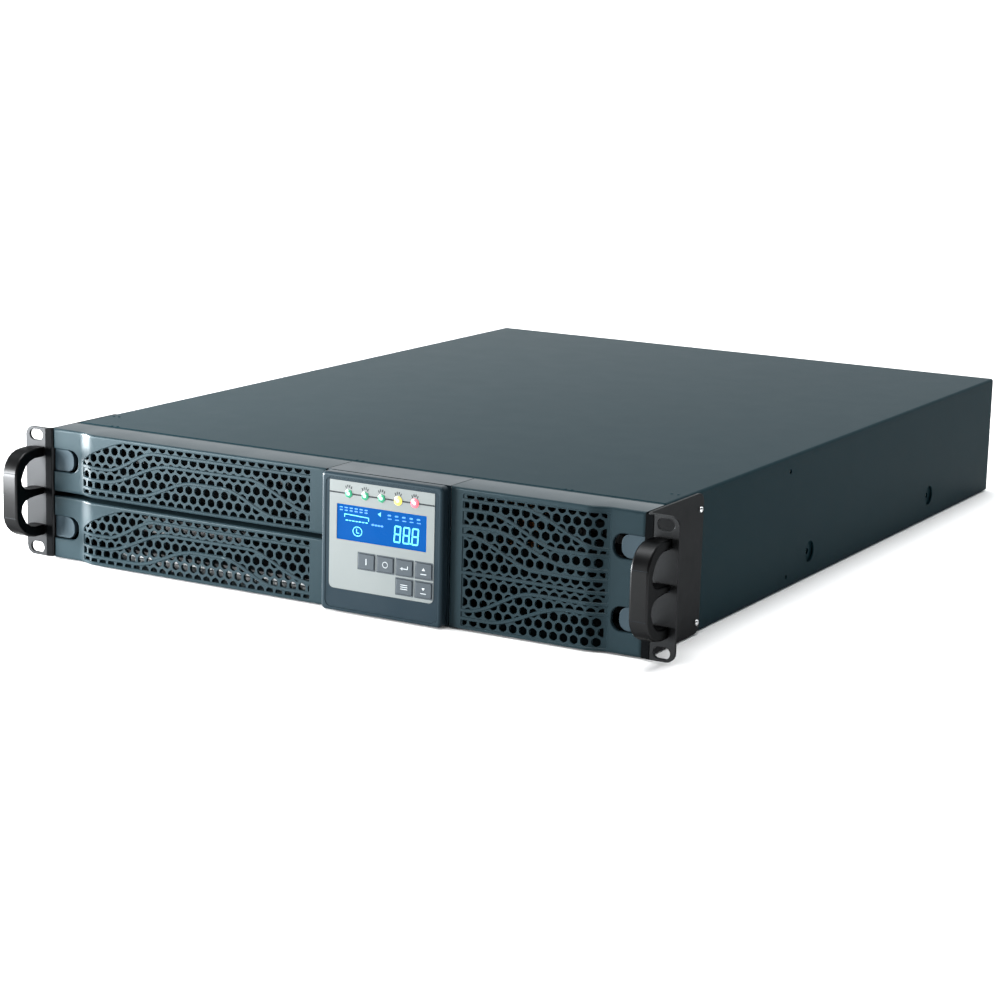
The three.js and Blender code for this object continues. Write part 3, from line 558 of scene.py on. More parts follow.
def add_area(name, place, target, size, power, spread):
    """Rectangular softbox, aimed at the target."""
    data = bpy.data.lights.new(name, "AREA")
    data.shape = "RECTANGLE"
    data.size, data.size_y = size
    data.energy = power
    data.spread = math.radians(spread)
    light = bpy.data.objects.new(name, data)
    light.location = place
    light.rotation_mode = "QUATERNION"
    light.rotation_quaternion = (Vector(target) - Vector(place)).to_track_quat("-Z", "Y")
    bpy.context.scene.collection.objects.link(light)


def add_world(front, back):
    """Sky that brightens towards the rear left, behind the object."""
    world = bpy.data.worlds.new("studio")
    bpy.context.scene.world = world
    world.use_nodes = True
    tree = world.node_tree
    shade = tree.nodes["Background"]
    shade.inputs["Color"].default_value = (0.94, 0.98, 1.0, 1)
    coords = tree.nodes.new("ShaderNodeTexCoord")
    along = tree.nodes.new("ShaderNodeVectorMath")
    along.operation = "DOT_PRODUCT"
    along.inputs[1].default_value = (-0.5, 0.85, 0.15)
    tree.links.new(coords.outputs["Generated"], along.inputs[0])
    strength = remap(tree, along.outputs["Value"], -0.2, 0.9, front, back)
    tree.links.new(strength, shade.inputs["Strength"])


def add_sun(direction, strength, spread):
    """Soft light from the direction; the spread is its width in degrees."""
    data = bpy.data.lights.new("overhead_sun", "SUN")
    data.energy = strength
    data.angle = math.radians(spread)
    light = bpy.data.objects.new("overhead_sun", data)
    light.rotation_mode = "QUATERNION"
    light.rotation_quaternion = (-Vector(direction)).to_track_quat("-Z", "Y")
    bpy.context.scene.collection.objects.link(light)


def add_floor():
    """Plain pale disc, half a millimetre under the object."""
    radius, sides = 60.0, 64
    mesh = bpy.data.meshes.new("floor")
    rim = [(x, y, -0.0005) for x, y in circle(0, 0, radius, sides)]
    mesh.from_pydata(rim, [], [list(range(sides))])
    paper = surface(
        "floor_paper", (0.93, 0.93, 0.93), 0.9, vary=0.01, grain=300, bump=0.02, specular=0.1,
    )
    mesh.materials.append(paper)
    floor = bpy.data.objects.new("floor", mesh)
    bpy.context.scene.collection.objects.link(floor)


add_camera(
    azimuth=29.682, elevation=11.989, roll=1.405, lens=91.12, place=(0.85168, -1.57947, 0.39543)
)
add_world(front=0.10, back=1.95)
add_floor()
add_sun((-0.15, -0.05, 0.98), 3.8, 40)
add_area("front_left_softbox", (-0.68, -0.98, 0.11), (-0.2, -0.3, 0.05), (0.34, 0.2), 9.5, 110)
add_area("left_strip", (-0.98, -0.44, 0.09), (-0.2, -0.3, 0.05), (0.3, 0.17), 15, 90)
bpy.context.scene.view_settings.view_transform = "Standard"


# ---------------------------------------------------------------- bezels


def face_y(distance):
    """Y of a bezel's face at a distance from the middle of the unit."""
    t = (distance - STEP[0]) / (STEP[1] - STEP[0])
    return lerp(BEZEL_MAIN, BEZEL_END, smooth(t))


def rib_height(rib, x):
    """A wave rib's height at x: level after level, with a smooth ramp between each two."""
    levels, ramps = rib
    z = levels[0]
    for level, previous, (start, end) in zip(levels[1:], levels, ramps):
        z += (level - previous) * smooth((x - start) / (end - start))
    return z


def rib_line(rib, x, offset):
    """The rib's centre line moved sideways by the offset."""
    line = []
    for at in steps(x[0], x[1], int((x[1] - x[0]) / 1.6)):
        slope = rib_height(rib, at + 0.5) - rib_height(rib, at - 0.5)
        line.append((at, rib_height(rib, at) + offset * math.sqrt(1 + slope * slope)))
    return line


def rib_share(rib, x, z):
    """1 on top of the rib, 0 beside it."""
    slope = rib_height(rib, x + 0.5) - rib_height(rib, x - 0.5)
    away = abs(z - rib_height(rib, x)) / math.sqrt(1 + slope * slope)
    return min(1.0, max(0.0, (RIB_HALF - away) / RIB_SLOPE))


def hexagon(x, z):
    """Hexagon standing on a corner, its corners cut a little."""
    radius = HEX_ACROSS / math.sqrt(3)
    angles = [math.radians(60 * k + 30) for k in range(6)]
    tips = [(x + radius * math.cos(a), z + radius * math.sin(a)) for a in angles]
    points = []
    for k in range(6):
        (x0, z0), (x1, z1) = tips[k], tips[(k + 1) % 6]
        points += [(lerp(x0, x1, t), lerp(z0, z1, t)) for t in (0.2, 0.8)]
    return points


def hex_field(first, pitch, x_end, z_end):
    """Rows of hexagons from the first centre on, every second row half a pitch over."""
    cells = []
    row_step = pitch * math.cos(math.radians(30))
    rows = int((z_end - first[1]) / row_step) + 2
    columns = int((x_end - first[0]) / pitch) + 2
    for row in range(rows):
        shift = (row % 2) * pitch / 2
        for column in range(-1, columns):
            cells.append(hexagon(first[0] + shift + column * pitch, first[1] + row * row_step))
    return cells


def add_bezel(name, node, body, x, z, field, hole_field, ribs, latches, side, cells):
    """Moulding drawn on the right-hand side (x grows outwards); side -1 mirrors it to the left."""
    border = rounded_rect(x, z, 0)
    edge_lines = []
    for depth in (0.15, 0.5, EDGE_RADIUS):
        ring = rounded_rect((x[0] + depth, x[1] - depth), (z[0] + depth, z[1] - depth), 0)
        edge_lines.append(ring + ring[:1])
    bends = [[(at, z[0]), (at, z[1])] for at in steps(STEP[0], STEP[1], 10)]
    lip = inset(field, RIB_SLOPE)
    x_range = (min(p[0] for p in field) - 0.5, max(p[0] for p in field) + 0.5)
    bands, lines = [], []
    for rib in ribs:
        low, high = rib_line(rib, x_range, -RIB_HALF), rib_line(rib, x_range, RIB_HALF)
        bands.append(low + high[::-1])
        lines.append(rib_line(rib, x_range, -RIB_HALF + RIB_SLOPE))
        lines.append(rib_line(rib, x_range, RIB_HALF - RIB_SLOPE))
    slots = [
        rounded_rect((SLOT_END, x[1] + 2), (at - SLOT_HALF, at + SLOT_HALF), (6.5, 0, 0, 6.5), 8)
        for at in latches
    ]
    slot_lines = [inset(slot, -0.5) for slot in slots]

    def front(u, v):
        edge = max(0.0, min(u - x[0], x[1] - u, v - z[0], z[1] - v))
        y = face_y(u)
        if edge < EDGE_RADIUS:
            drop = EDGE_RADIUS - edge
            y += EDGE_RADIUS - math.sqrt(EDGE_RADIUS**2 - drop**2)
        inside = distance_inside(field, u, v)
        raised = 1.0 if inside <= 0 else max(0.0, 1 - inside / RIB_SLOPE)
        if inside > 0:
            raised = max([raised] + [rib_share(rib, u, v) for rib in ribs])
        y += RECESS * (1 - raised)
        for line in slot_lines:
            near = distance_inside(line, u, v)
            if near > 0:
                y += 0.35 * min(1.0, near / 0.5)
        return (side * u, y, v)

    def back(u, v, in_rim):
        return (side * u, BEZEL_BACK if in_rim else face_y(u) + WALL + RECESS, v)

    inner = rounded_rect((x[0] + WALL, x[1] - WALL), (z[0] + WALL, z[1] - WALL), 0)
    verts, faces = relief(
        border,
        front,
        back,
        windows=slots,
        cuts=cells,
        field=hole_field,
        ribs=bands,
        guides=edge_lines + bends + lines + [lip + lip[:1], field + field[:1]] + slot_lines,
        rim=inner,
    )
    obj = finish_mesh(name, verts, faces, body, BEZEL, "bezel_plastic", 28)
    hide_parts(node)


def left_bezel(name, node, body, z0):
    """One of the two stacked left mouldings, drawn on the right and mirrored."""
    z = (z0, z0 + LEFT_BEZEL_RISE)
    arch = [
        (193.4, 23.2), (192.3, 25.0), (185, 29.6), (175, 34.3), (165, 37.9), (159.5, 39.4),
        (156, 39.8),
    ]
    field = [(11.5, z0 + 2.7), (12.2, z0 + 2.0), (192.4, z0 + 2.0), (193.6, z0 + 3.4)]
    field += [(at, z0 + height) for at, height in arch]
    field += [(12.2, z0 + 39.8), (11.5, z0 + 39.1)]
    hole_field = inset(field, 0.5)
    waves = [
        ((35.3, 20.4), ((132, 172),)),
        ((12.6, 28.0, 12.2), ((12, 60), (121, 174))),
        ((5.9, 19.5, 5.9), ((37, 79), (101, 149))),
    ]
    ribs = [(tuple(z0 + level for level in levels), ramps) for levels, ramps in waves]
    cells = hex_field((14.0, z0 + 2.85), 7.03, 194, z0 + 40)
    latches = [z0 + LEFT_LATCH_RISE]
    add_bezel(
        name, node, body, (-0.5, BEZEL_OUTER), z, field, hole_field, ribs, latches, -1, cells
    )


def right_bezel():
    """The single moulding on the right, as tall as the unit."""
    field = rounded_rect((98.6, 196.4), (2.1, 84.3), 0.8, 1)
    hole_field = rounded_rect((99.5, 194.0), (2.7, 83.4), 0.8, 1)
    ribs = [
        ((80.3, 62.0), ((138, 193),)),
        ((74.4, 58.0), ((116, 165),)),
        ((64.4, 48.9), ((118, 170),)),
        ((58.8, 43.0), ((102, 150),)),
        ((35.7, 35.4), ((150, 200),)),
        ((12.2, 28.7), ((102, 148),)),
        ((7.3, 22.7), ((117, 171),)),
    ]
    cells = hex_field((100.2, 5.7), 6.9, 195, 84)
    add_bezel(
        "right_bezel_moulding", "bezel_right", "right_bezel",
        (90, BEZEL_OUTER), (0.3, 87.7), field, hole_field, ribs, RIGHT_LATCHES, 1, cells,
    )


left_bezel("upper_left_bezel_moulding", "bezel_upper_left", "upper_left_bezel", UPPER_BEZEL_Z)
left_bezel("lower_left_bezel_moulding", "bezel_lower_left", "lower_left_bezel", LOWER_BEZEL_Z)
right_bezel()


def add_latch(body, z, side):
    """Thumb tab with a tongue behind it, set back in its slot."""
    front = BEZEL_END + LATCH_RECESS
    height = (z - LATCH_HALF, z + LATCH_HALF)
    outline = rounded_rect((SLOT_END + 4.7, LATCH_OUTER), height, (5.9, 0, 0, 5.9), 8)
    verts, faces = prism(outline, front, front + 3, facing_front)
    tongue_outline = rounded_rect((205, 214), (z - 3.5, z + 3.5), 0.5, 2)
    tongue = prism(tongue_outline, front + 2.5, front + 10, facing_front)
    verts, faces = merge((verts, faces), tongue)
    verts = [(side * x, y, at) for x, y, at in verts]
    obj = bevel(finish_mesh(body + "_tab", verts, faces, body, LATCH, "latch_plastic"), 0.55)
    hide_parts(body)


add_latch("latch_upper_left", UPPER_BEZEL_Z + LEFT_LATCH_RISE, -1)
add_latch("latch_lower_left", LOWER_BEZEL_Z + LEFT_LATCH_RISE, -1)
add_latch("latch_upper_right", RIGHT_LATCHES[0], 1)
add_latch("latch_lower_right", RIGHT_LATCHES[1], 1)


# ---------------------------------------------------------------- ears and handles


def add_ear(name, side):
    """Bent sheet. u runs over the convex face: front flange, bend, then back along the chassis."""
    flat = EAR_EDGE - EAR_INSIDE - EAR_BEND
    arc = EAR_BEND * math.pi / 2
    length = flat + arc + EAR_REACH - EAR_BEND

    def place(u, depth):
        if u <= flat:
            return (EAR_EDGE - u, FRONT + depth)
        if u <= flat + arc:
            angle = (u - flat) / EAR_BEND
            reach = EAR_BEND - depth
            return (
                EAR_INSIDE + EAR_BEND - reach * math.sin(angle),
                FRONT + EAR_BEND - reach * math.cos(angle),
            )
        return (EAR_INSIDE + depth, FRONT + EAR_BEND + u - flat - arc)

    def front(u, v):
        x, y = place(u, 0)
        return (side * x, y, v)

    def back(u, v, _):
        x, y = place(u, EAR_SHEET)
        return (side * x, y, v)

    border = rounded_rect((0, length), EAR_Z, 6, 6)
    slots = [
        rounded_rect((8.75 - 5.5, 8.75 + 5.5), (z - 3.55, z + 3.55), 3.5, 8)
        for z in (MID_Z - EAR_SLOT_PITCH / 2, MID_Z + EAR_SLOT_PITCH / 2)
    ]
    bends = [[(at, EAR_Z[0]), (at, EAR_Z[1])] for at in steps(flat, flat + arc, 6)]
    verts, faces = relief(border, front, back, windows=slots, guides=bends)
    obj = finish_mesh(name + "_sheet", verts, faces, "chassis", EAR, "ear_steel", 40)
    bevel(obj, 0.35, 2, 50)
    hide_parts(name)


def add_handle(name, side):
    """Double-loop handle: one outline with two finger windows open to the ear."""
    root = FRONT - 0.3
    grip = root - GRIP_REACH
    outline = [
        (root, 15.2), (root - 10, 15.3), (root - 17, 16.8), (root - 22.5, 19.8),
        (root - 26.2, 23.4), (root - 28.5, 27.2), (grip, 31), (grip, 58), (root - 28.7, 62.2),
        (root - 26.9, 66.2), (root - 24.2, 69.7), (root - 20.3, 72.6), (root - 15.6, 74.2),
        (root - 8, 74.8), (root, 74.4),
    ]
    lobe = [
        (0, 9.6), (-10, 9.6), (-14.5, 8.4), (-18.5, 5.8), (-21, 2.4), (-23.0, -1.6),
        (-22.2, -5.2), (-19.6, -7.6), (-15, -8.9), (-9, -9.4), (0, -9.6),
    ]
    upper = [(root + dy, 57.8 + dz * 1.08) for dy, dz in lobe]
    lower = [(root + dy, 32.6 - dz * 1.08) for dy, dz in reversed(lobe)]
    ring = outline + upper + lower
    verts, faces = prism(ring, *HANDLE_X, facing_side)
    verts = [(side * x, y, z) for x, y, z in verts]
    obj = finish_mesh(name + "_grip", verts, faces, "chassis", HANDLE, "black_plastic", 50)
    bevel(obj, 1.2, 3, 50)
    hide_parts(name)
    # Painted shade: thin dark strips across the grip where its face bends into the loops.
    for at in (30.6, 60.4):
        y = grip - 0.05
        line = rounded_rect((HANDLE_X[0] + 0.5, HANDLE_X[1] - 0.5), (at - 0.18, at + 0.18), 0)
        verts, faces = prism(line, y, y + 0.2, facing_front)
        verts = [(side * px, py, pz) for px, py, pz in verts]
        piece = name + "_crease_shade_" + str(int(at))
        finish_mesh(piece, verts, faces, "chassis", PRINT, "black_plastic")


def add_shade_strip_by_ear(name, side):
    """Painted shade: a matt black strip for the shadow in the gap between the bezel's end and the
    flat of the ear.
    """
    strip = rounded_rect((219.5, 224.6), (0.9, 87.1), 0)
    verts, faces = prism(strip, FRONT - 0.4, FRONT - 0.08, facing_front)
    verts = [(side * x, y, z) for x, y, z in verts]
    finish_mesh(name + "_liner", verts, faces, "chassis", PAINTED_SHADE, "black_plastic")


for word, sign in (("left", -1), ("right", 1)):
    add_ear("ear_" + word, sign)
    add_shade_strip_by_ear("ear_" + word, sign)
    add_handle("handle_" + word, sign)


def pan_screw(name, place, axis, radius, body, material=BRIGHT):
    """Round screw head with a dimple for the driver, its axis pointing outwards."""
    profile = [
        (0, -0.2), (radius, -0.2), (radius, 0.45), (radius * 0.86, 1.0), (radius * 0.5, 1.35),
        (radius * 0.42, 0.75), (0, 0.65),
    ]
    verts, faces = lathe(profile, place, axis, 24)
    return finish_mesh(name, verts, faces, body, material, "zinc_steel", 40)


for word, sign in (("left", -1), ("right", 1)):
    for i, z in enumerate((7.5, 77.5)):
        place = (sign * (EAR_INSIDE + EAR_SHEET), FRONT + 69.5, z)
        pan_screw("ear_screw_%s_%d" % (word, i), place, (sign, 0, 0), 1.9, "chassis")


# ---------------------------------------------------------------- cover


SIDE_HOLES_Y = (FRONT + 247.5, FRONT + 470.5)
SIDE_HOLE_RISE = 17.1  # above the cover's lower edge
PIN_HOLES_Z = (7.2, 77.7)
PIN_HOLE_Y = FRONT + 210
# Across the unit, and back from the cover's front edge.
DIMPLES = ((-190, 4.5), (-212, 34), (4, 4.5), (153, 4.5), (211, 30))


def add_cover():
    """Folded sheet. u runs round the cover from its left lower edge to its right lower edge."""
    radius, sheet, low = 2.0, 1.2, 0.4
    rise = HEIGHT - low - radius
    arc = radius * math.pi / 2
    span = 2 * (HALF - radius)
    total = 2 * rise + 2 * arc + span

    def half_place(u, depth):
        if u <= rise:
            return (-HALF + depth, low + u)
        angle = (u - rise) / radius
        if u <= rise + arc:
            reach = radius - depth
            return (
                -HALF + radius - reach * math.cos(angle),
                HEIGHT - radius + reach * math.sin(angle),
            )
        return (-HALF + radius + u - rise - arc, HEIGHT - depth)

    def place(u, depth):
        if u <= total / 2:
            return half_place(u, depth)
        x, z = half_place(total - u, depth)
        return (-x, z)

    hem = (COVER_FRONT + 3.0, COVER_FRONT + 3.35)

    def front(u, v):
        x, z = place(u, 0.35 * min(1.0, max(0.0, (hem[1] - v) / 0.35)))
        return (x, v, z)

    def back(u, v, _):
        x, z = place(u, sheet)
        return (x, v, z)

    border = rounded_rect((0, total), (COVER_FRONT, REAR), 0)
    holes = []
    for y in SIDE_HOLES_Y:
        for u in (SIDE_HOLE_RISE, total - SIDE_HOLE_RISE):
            holes.append(circle(u, y, 7, 32))
    for z in PIN_HOLES_Z:
        for u in (z - low, total - z + low):
            holes.append(circle(u, PIN_HOLE_Y, 1.5, 12))
    bends = []
    for start in (rise, rise + arc + span):
        bends += [[(at, COVER_FRONT), (at, REAR)] for at in steps(start, start + arc, 5)]
    middle = [[(total / 2, COVER_FRONT), (total / 2, REAR)]]
    middle += [[(0, at), (total, at)] for at in hem]
    verts, faces = relief(border, front, back, windows=holes, guides=bends + middle)
    obj = finish_mesh("cover_sheet", verts, faces, "chassis", CASE, "case_steel", 40)
    bevel(obj, 0.25, 2, 50)
    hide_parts("top_cover")


add_cover()


def cover_dimples():
    """Pairs of small pressed dimples along the cover's front edge."""
    for i, (x, y) in enumerate(DIMPLES):
        for j, offset in enumerate((-2.2, 2.2)):
            profile = [(0, -0.1), (1.1, -0.1), (0.9, 0.12), (0.5, 0.26), (0, 0.3)]
            verts, faces = lathe(profile, (x + offset, COVER_FRONT + y, HEIGHT), (0, 0, 1), 16)
            finish_mesh("cover_dimple_%d_%d" % (i, j), verts, faces, "chassis", CASE, "case_steel")


cover_dimples()


# ---------------------------------------------------------------- display head

KEY_SIZE = (11.4, 9.4)
KEYS = {
    "key_on": (35.1, 34.6),
    "key_off": (48.85, 34.6),
    "key_enter": (62.6, 34.6),
    "key_up": (76.35, 34.6),
    "key_menu": (62.6, 22.6),
    "key_down": (76.35, 22.6),
}
LCD_X = (12.95, 77.65)
LCD_Z = (46.3, 68.6)
LAMP_Z = 75.6
LAMP_HOLE = 1.9  # radius
LAMPS = [21.5, 33.4, 45.3, 57.2, 69.1]
OVERLAY_X = (4.9, 85.7)
OVERLAY_Z = (2.8, 84.6)
LABEL_X = (7.6, 83.2)
LABEL_Z = (15.0, 83.2)
SEAT_DEPTH = 0.55
SEAT_EDGE = 0.15
STROKE = 0.12  # how far a symbol's strokes stand up


def key_outline(key, grow=0.0, radius=0.5):
    """A key's outline, grown on all sides."""
    x, z = KEYS[key]
    w, h = KEY_SIZE[0] / 2 + grow, KEY_SIZE[1] / 2 + grow
    return rounded_rect((x - w, x + w), (z - h, z + h), radius, 3)


def grown(x, z, by, radius):
    """Rounded rectangle over the two ranges, grown on all sides."""
    return rounded_rect((x[0] - by, x[1] + by), (z[0] - by, z[1] + by), radius, 4)


def add_housing():
    """Square moulding with a rounded rim and a shallow seat for the overlay film."""
    radius = 1.8
    border = rounded_rect(HEAD_X, HEAD_Z, 3.0, 6)
    seat = grown(OVERLAY_X, OVERLAY_Z, 0.25, 4.2)
    seat_floor = inset(seat, SEAT_EDGE)
    rings = []
    for depth in (0.12, 0.4, 0.9, radius):
        ring = inset(border, depth)
        rings.append(ring + ring[:1])

    def front(u, v):
        edge = max(0.0, distance_inside(border, u, v))
        y = HEAD_FRONT
        if edge < radius:
            y += radius - math.sqrt(radius**2 - (radius - edge) ** 2)
        y += SEAT_DEPTH * min(1.0, max(0.0, distance_inside(seat, u, v) / SEAT_EDGE))
        return (u, y, v)

    def back(u, v, in_rim):
        return (u, HEAD_BACK if in_rim else HEAD_FRONT + 2, v)

    openings = [grown(LCD_X, LCD_Z, 0.2, 0.5)]
    openings += [key_outline(key, 0.2) for key in KEYS]
    openings += [circle(x, LAMP_Z, LAMP_HOLE, 20) for x in LAMPS]
    inner = rounded_rect((HEAD_X[0] + 2, HEAD_X[1] - 2), (HEAD_Z[0] + 2, HEAD_Z[1] - 2), 1.5, 4)
    verts, faces = relief(
        border, front, back, windows=openings, rim=inner,
        guides=rings + [seat + seat[:1], seat_floor + seat_floor[:1]],
    )
    obj = finish_mesh("head_housing", verts, faces, "display_head", HEAD, "bezel_plastic", 32)
    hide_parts("display_housing")


def skin(y):
    """A flat skin for relief, at the given Y."""
    return lambda u, v, *_: (u, y, v)


def add_film():
    """Dark overlay film, the silver label on it and the printed line through the status lamps."""
    y = HEAD_FRONT + 0.3
    openings = [grown(LCD_X, LCD_Z, 0.0, 0.4)] + [key_outline(key, 0.15) for key in KEYS]
    openings += [circle(x, LAMP_Z, LAMP_HOLE, 20) for x in LAMPS]
    border = grown(OVERLAY_X, OVERLAY_Z, 0.0, 4.0)
    verts, faces = relief(border, skin(y), skin(y + 0.25), windows=openings)
    film = finish_mesh("overlay_film", verts, faces, "display_head", OVERLAY, "label_film")
    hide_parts("display_overlay")
    silver = rounded_rect(LABEL_X, LABEL_Z, (3.2, 3.2, 0.6, 0.6), 6)
    verts, faces = relief(silver, skin(y - 0.16), skin(y + 0.02), windows=openings)
    finish_mesh("silver_label", verts, faces, "display_head", LABEL, "label_film")
    strokes = []
    stops = [LABEL_X[0]] + [v for x in LAMPS for v in (x - 2.1, x + 2.1)] + [LABEL_X[1]]
    for a, b in zip(stops[::2], stops[1::2]):
        stroke = rounded_rect((a, b), (LAMP_Z - 0.5, LAMP_Z + 0.4), 0)
        strokes.append(prism(stroke, y - 0.2, y - 0.1, facing_front))
    finish_mesh("label_line", *merge(*strokes), "display_head", PRINT, "label_film")


def add_label_print():
    """Dark print round each key and a small line symbol over each lamp."""
    y = HEAD_FRONT + 0.14
    frames, icons = [], []
    for key in KEYS:
        outer, window = key_outline(key, 0.85, 0.3), key_outline(key, 0.15)
        frames.append(relief(outer, skin(y - 0.06), skin(y + 0.02), windows=[window]))
    for x in LAMPS:
        for dx, dz in ((-1.7, -0.1), (-0.6, 0.7), (0.6, 0.7), (1.7, -0.1)):
            low, high = (x + dx, LAMP_Z + 3.3 + dz), (x + dx * 1.3, LAMP_Z + 4.6 + dz)
            icons.append(bar(low, high, 0.6, y, 0.06))
    finish_mesh("key_surround_print", *merge(*frames), "display_head", KEY, "label_film")
    finish_mesh("lamp_symbol_print", *merge(*icons), "display_head", PRINT, "label_film")


def add_lamps():
    """Five lamps: a coloured lens each, with a bright core. The three green lenses are hexagons."""
    colours = [(GREEN, CORE_GREEN)] * 3 + [(YELLOW, CORE_YELLOW), (RED, CORE_RED)]
    for i, (x, (ring, core)) in enumerate(zip(LAMPS, colours)):
        base = HEAD_FRONT + 0.1
        profile = [
            (0, -2.6), (1.7, -2.6), (1.7, 0), (2.9, 0), (2.8, 0.25), (2.0, 0.42), (1.2, 0.45),
            (0, 0.45),
        ]
        sides = 6 if ring is GREEN else 24
        verts, faces = lathe(profile, (x, base, LAMP_Z), (0, -1, 0), sides)
        lens = finish_mesh("lamp_lens_%d" % i, verts, faces, "display_head", ring, "clear_plastic")
        profile = [(0, 0.4), (1.05, 0.4), (0.95, 0.62), (0.6, 0.8), (0, 0.86)]
        verts, faces = lathe(profile, (x, base, LAMP_Z), (0, -1, 0), 20)
        finish_mesh("lamp_core_%d" % i, verts, faces, "display_head", core, "clear_plastic")
        if i == 0:
            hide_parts("led_light_pipe")


def bar(a, b, width, y, depth=STROKE):
    """Flat stroke from a to b with pointed ends, standing on plane y towards the viewer."""
    a, b = Vector(a), Vector(b)
    along = (b - a).normalized() * width / 2
    across = Vector((-along.y, along.x))
    outline = [a - across, b - across, b + along, b + across, a + across, a - along]
    return prism([tuple(p) for p in outline], y - depth, y, facing_front)


def digit(x, z, size, lean, y, width):
    """Seven-segment 8 with its lower left corner at (x, z)."""
    w, h = size

    def at(u, v):
        return (x + u * w + lean * v * h, z + v * h)

    gap = 0.04
    segments = [
        (at(gap, 1), at(1 - gap, 1)),
        (at(1, 1 - gap), at(1, 0.5 + gap)),
        (at(1, 0.5 - gap), at(1, gap)),
        (at(1 - gap, 0), at(gap, 0)),
        (at(0, gap), at(0, 0.5 - gap)),
        (at(0, 0.5 + gap), at(0, 1 - gap)),
        (at(gap, 0.5), at(1 - gap, 0.5)),
    ]
    return [bar(*ends, width, y) for ends in segments]


def add_lcd():
    """Backlit panel with three lit digits, lit line symbols and two rows of faint strokes."""
    y = HEAD_FRONT + 0.45
    verts, faces = prism(rounded_rect(LCD_X, LCD_Z, 0.3, 2), y, y + 2.4, facing_front)
    panel = finish_mesh("lcd_panel", verts, faces, "display_head", LCD, "lcd_panel")
    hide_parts("lcd_window")
    digits = []
    for x in (54.6, 61.0, 67.3):
        digits += digit(x, 49.8, size=(4.0, 9.8), lean=0.06, y=y, width=0.95)
    digits.append(prism(circle(66.1, 50.0, 0.55, 10), y - STROKE, y, facing_front))
    finish_mesh("lcd_digits", *merge(*digits), "display_head", SEGMENT, "lcd_panel")
    marks = [
        bar((18.5, 62.6), (36.0, 62.0), 0.5, y),
        bar((18.5, 62.4), (18.5, 60.8), 0.5, y),
        bar((36.0, 61.8), (36.0, 60.0), 0.5, y),
    ]
    for i in range(7):
        marks.append(bar((19.5 + i * 2.4, 58.8), (20.9 + i * 2.4, 58.8), 0.6, y))
    for i in range(10):
        start = 2 * math.pi * i / 10
        ends = [
            (28.0 + 3.3 * math.cos(angle), 52.6 + 2.9 * math.sin(angle))
            for angle in (start, start + 0.5)
        ]
        marks.append(bar(*ends, 0.5, y))
    marks.append(bar((27.4, 54.2), (27.4, 51.9), 0.5, y))
    marks.append(bar((27.6, 51.7), (29.2, 51.7), 0.5, y))
    triangle = [(42.6, 65.4), (44.8, 64.0), (44.8, 66.8)]
    marks.append(prism(triangle, y - STROKE, y, facing_front))
    finish_mesh("lcd_marks", *merge(*marks), "display_head", SEGMENT, "lcd_panel")
    faint = []
    for i in range(6):
        for j in range(2):
            x, z = 15.2 + i * 3.6, 66.6 - j * 1.7
            faint.append(bar((x, z), (17.0 + i * 3.6, z), 0.7, y))
    for i in range(5):
        faint.append(bar((50 + i * 5.2, 65.6), (51.8 + i * 5.2, 65.6), 1.0, y))
        faint.append(bar((50 + i * 5.2, 63.4), (52.4 + i * 5.2, 63.4), 0.6, y))
    for i in range(4):
        faint.append(bar((38.5 + i * 2.2, 58.2), (39.7 + i * 2.2, 58.2), 1.1, y))
    finish_mesh("lcd_faint_marks", *merge(*faint), "display_head", FAINT, "lcd_panel")


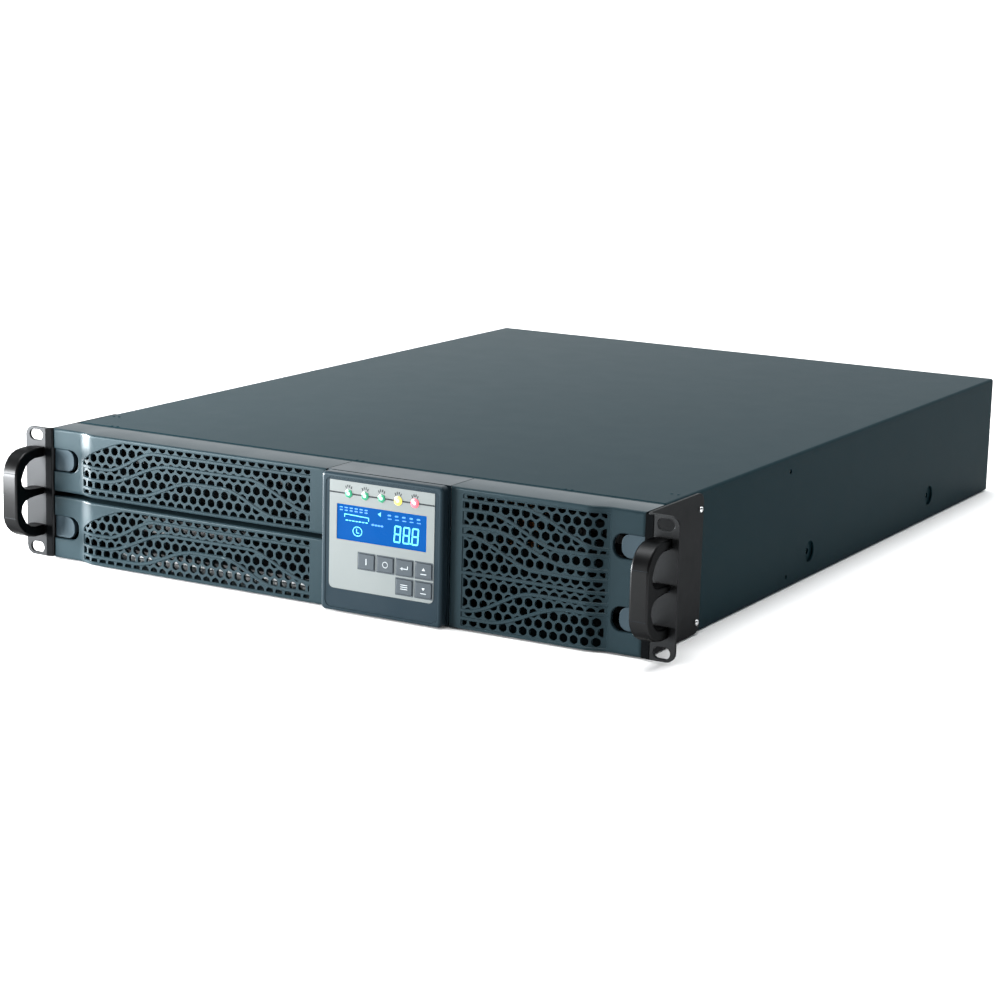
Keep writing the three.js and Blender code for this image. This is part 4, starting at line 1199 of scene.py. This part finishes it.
def key_symbol(key):
    """Strokes of a key's symbol: bar, ring, return arrow, list lines or a triangle over a line."""
    x, z = KEYS[key]
    y = HEAD_FRONT - 0.38
    if key == "key_on":
        return [bar((x, z - 1.8), (x, z + 1.8), 0.6, y)]
    if key == "key_off":
        ring = [
            (x + 1.8 * math.cos(2 * math.pi * i / 14), z + 1.8 * math.sin(2 * math.pi * i / 14))
            for i in range(15)
        ]
        return [bar(a, b, 0.5, y) for a, b in zip(ring, ring[1:])]
    if key == "key_enter":
        tip = [(x - 2.9, z - 0.6), (x - 1.3, z - 1.7), (x - 1.3, z + 0.5)]
        return [
            bar((x + 2.4, z + 1.2), (x + 2.4, z - 0.6), 0.5, y),
            bar((x + 2.4, z - 0.6), (x - 2.2, z - 0.6), 0.5, y),
            prism(tip, y - STROKE, y, facing_front),
        ]
    if key == "key_menu":
        return [bar((x - 2.4, z + dz), (x + 2.4, z + dz), 0.4, y) for dz in (-1.3, 0, 1.3)]
    point = 1 if key == "key_up" else -1
    base = z - 0.6 * point + 0.8
    triangle = [(x - 1.1, base), (x + 1.1, base), (x, z + 1.1 * point + 0.8)]
    if point < 0:
        triangle.reverse()
    return [
        prism(triangle, y - STROKE, y, facing_front),
        bar((x - 1.9, z - 2.1), (x + 1.9, z - 2.1), 0.45, y),
    ]


def add_keys():
    """Six key caps with their symbols."""
    for key in KEYS:
        verts, faces = prism(key_outline(key), HEAD_FRONT - 0.4, HEAD_FRONT + 2.8, facing_front)
        cap = bevel(finish_mesh(key + "_cap", verts, faces, key, KEY, "key_plastic"), 0.3, 2)
        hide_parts(key)
        finish_mesh(key + "_symbol", *merge(*key_symbol(key)), key, KEY_PRINT, "key_plastic")


add_housing()
add_film()
add_label_print()
add_lamps()
add_lcd()
add_keys()


# ---------------------------------------------------------------- carried CAD nodes

NODE_MATERIALS = {
    "case_steel": CASE,
    "zinc_steel": ZINC,
    "ear_steel": EAR,
    "black_plastic": BLACK,
    "bezel_plastic": HEAD,
    "latch_plastic": LATCH,
    "label_film": LABEL,
    "lcd_panel": LCD,
    "key_plastic": KEY,
    "clear_plastic": LABEL,
    "circuit_board": BOARD,
    "heatsink_aluminium": ALUMINIUM,
    "copper_winding": WINDING,
    "battery_case": BATTERY,
}

# Painted shade: these stand behind the grilles, so they get matt black that stands in for the shade
# there.
NODES_IN_SHADE_PAINT = ("front_frame", "drawer_front")


def dress_nodes():
    """Gives every carried CAD node its material, painted shade for those behind the grilles, and a
    small bevel.
    """
    slots = {entry["node"]: entry["material_slot"] for entry in frame["record"]["subparts"]}
    for name, obj in frame["nodes"].items():
        material = PAINTED_SHADE if name in NODES_IN_SHADE_PAINT else NODE_MATERIALS[slots[name]]
        for index in range(len(obj.material_slots)):
            obj.material_slots[index].material = material
        if not obj.hide_render:
            bevel(obj, 0.3, 2, 40)


dress_nodes()
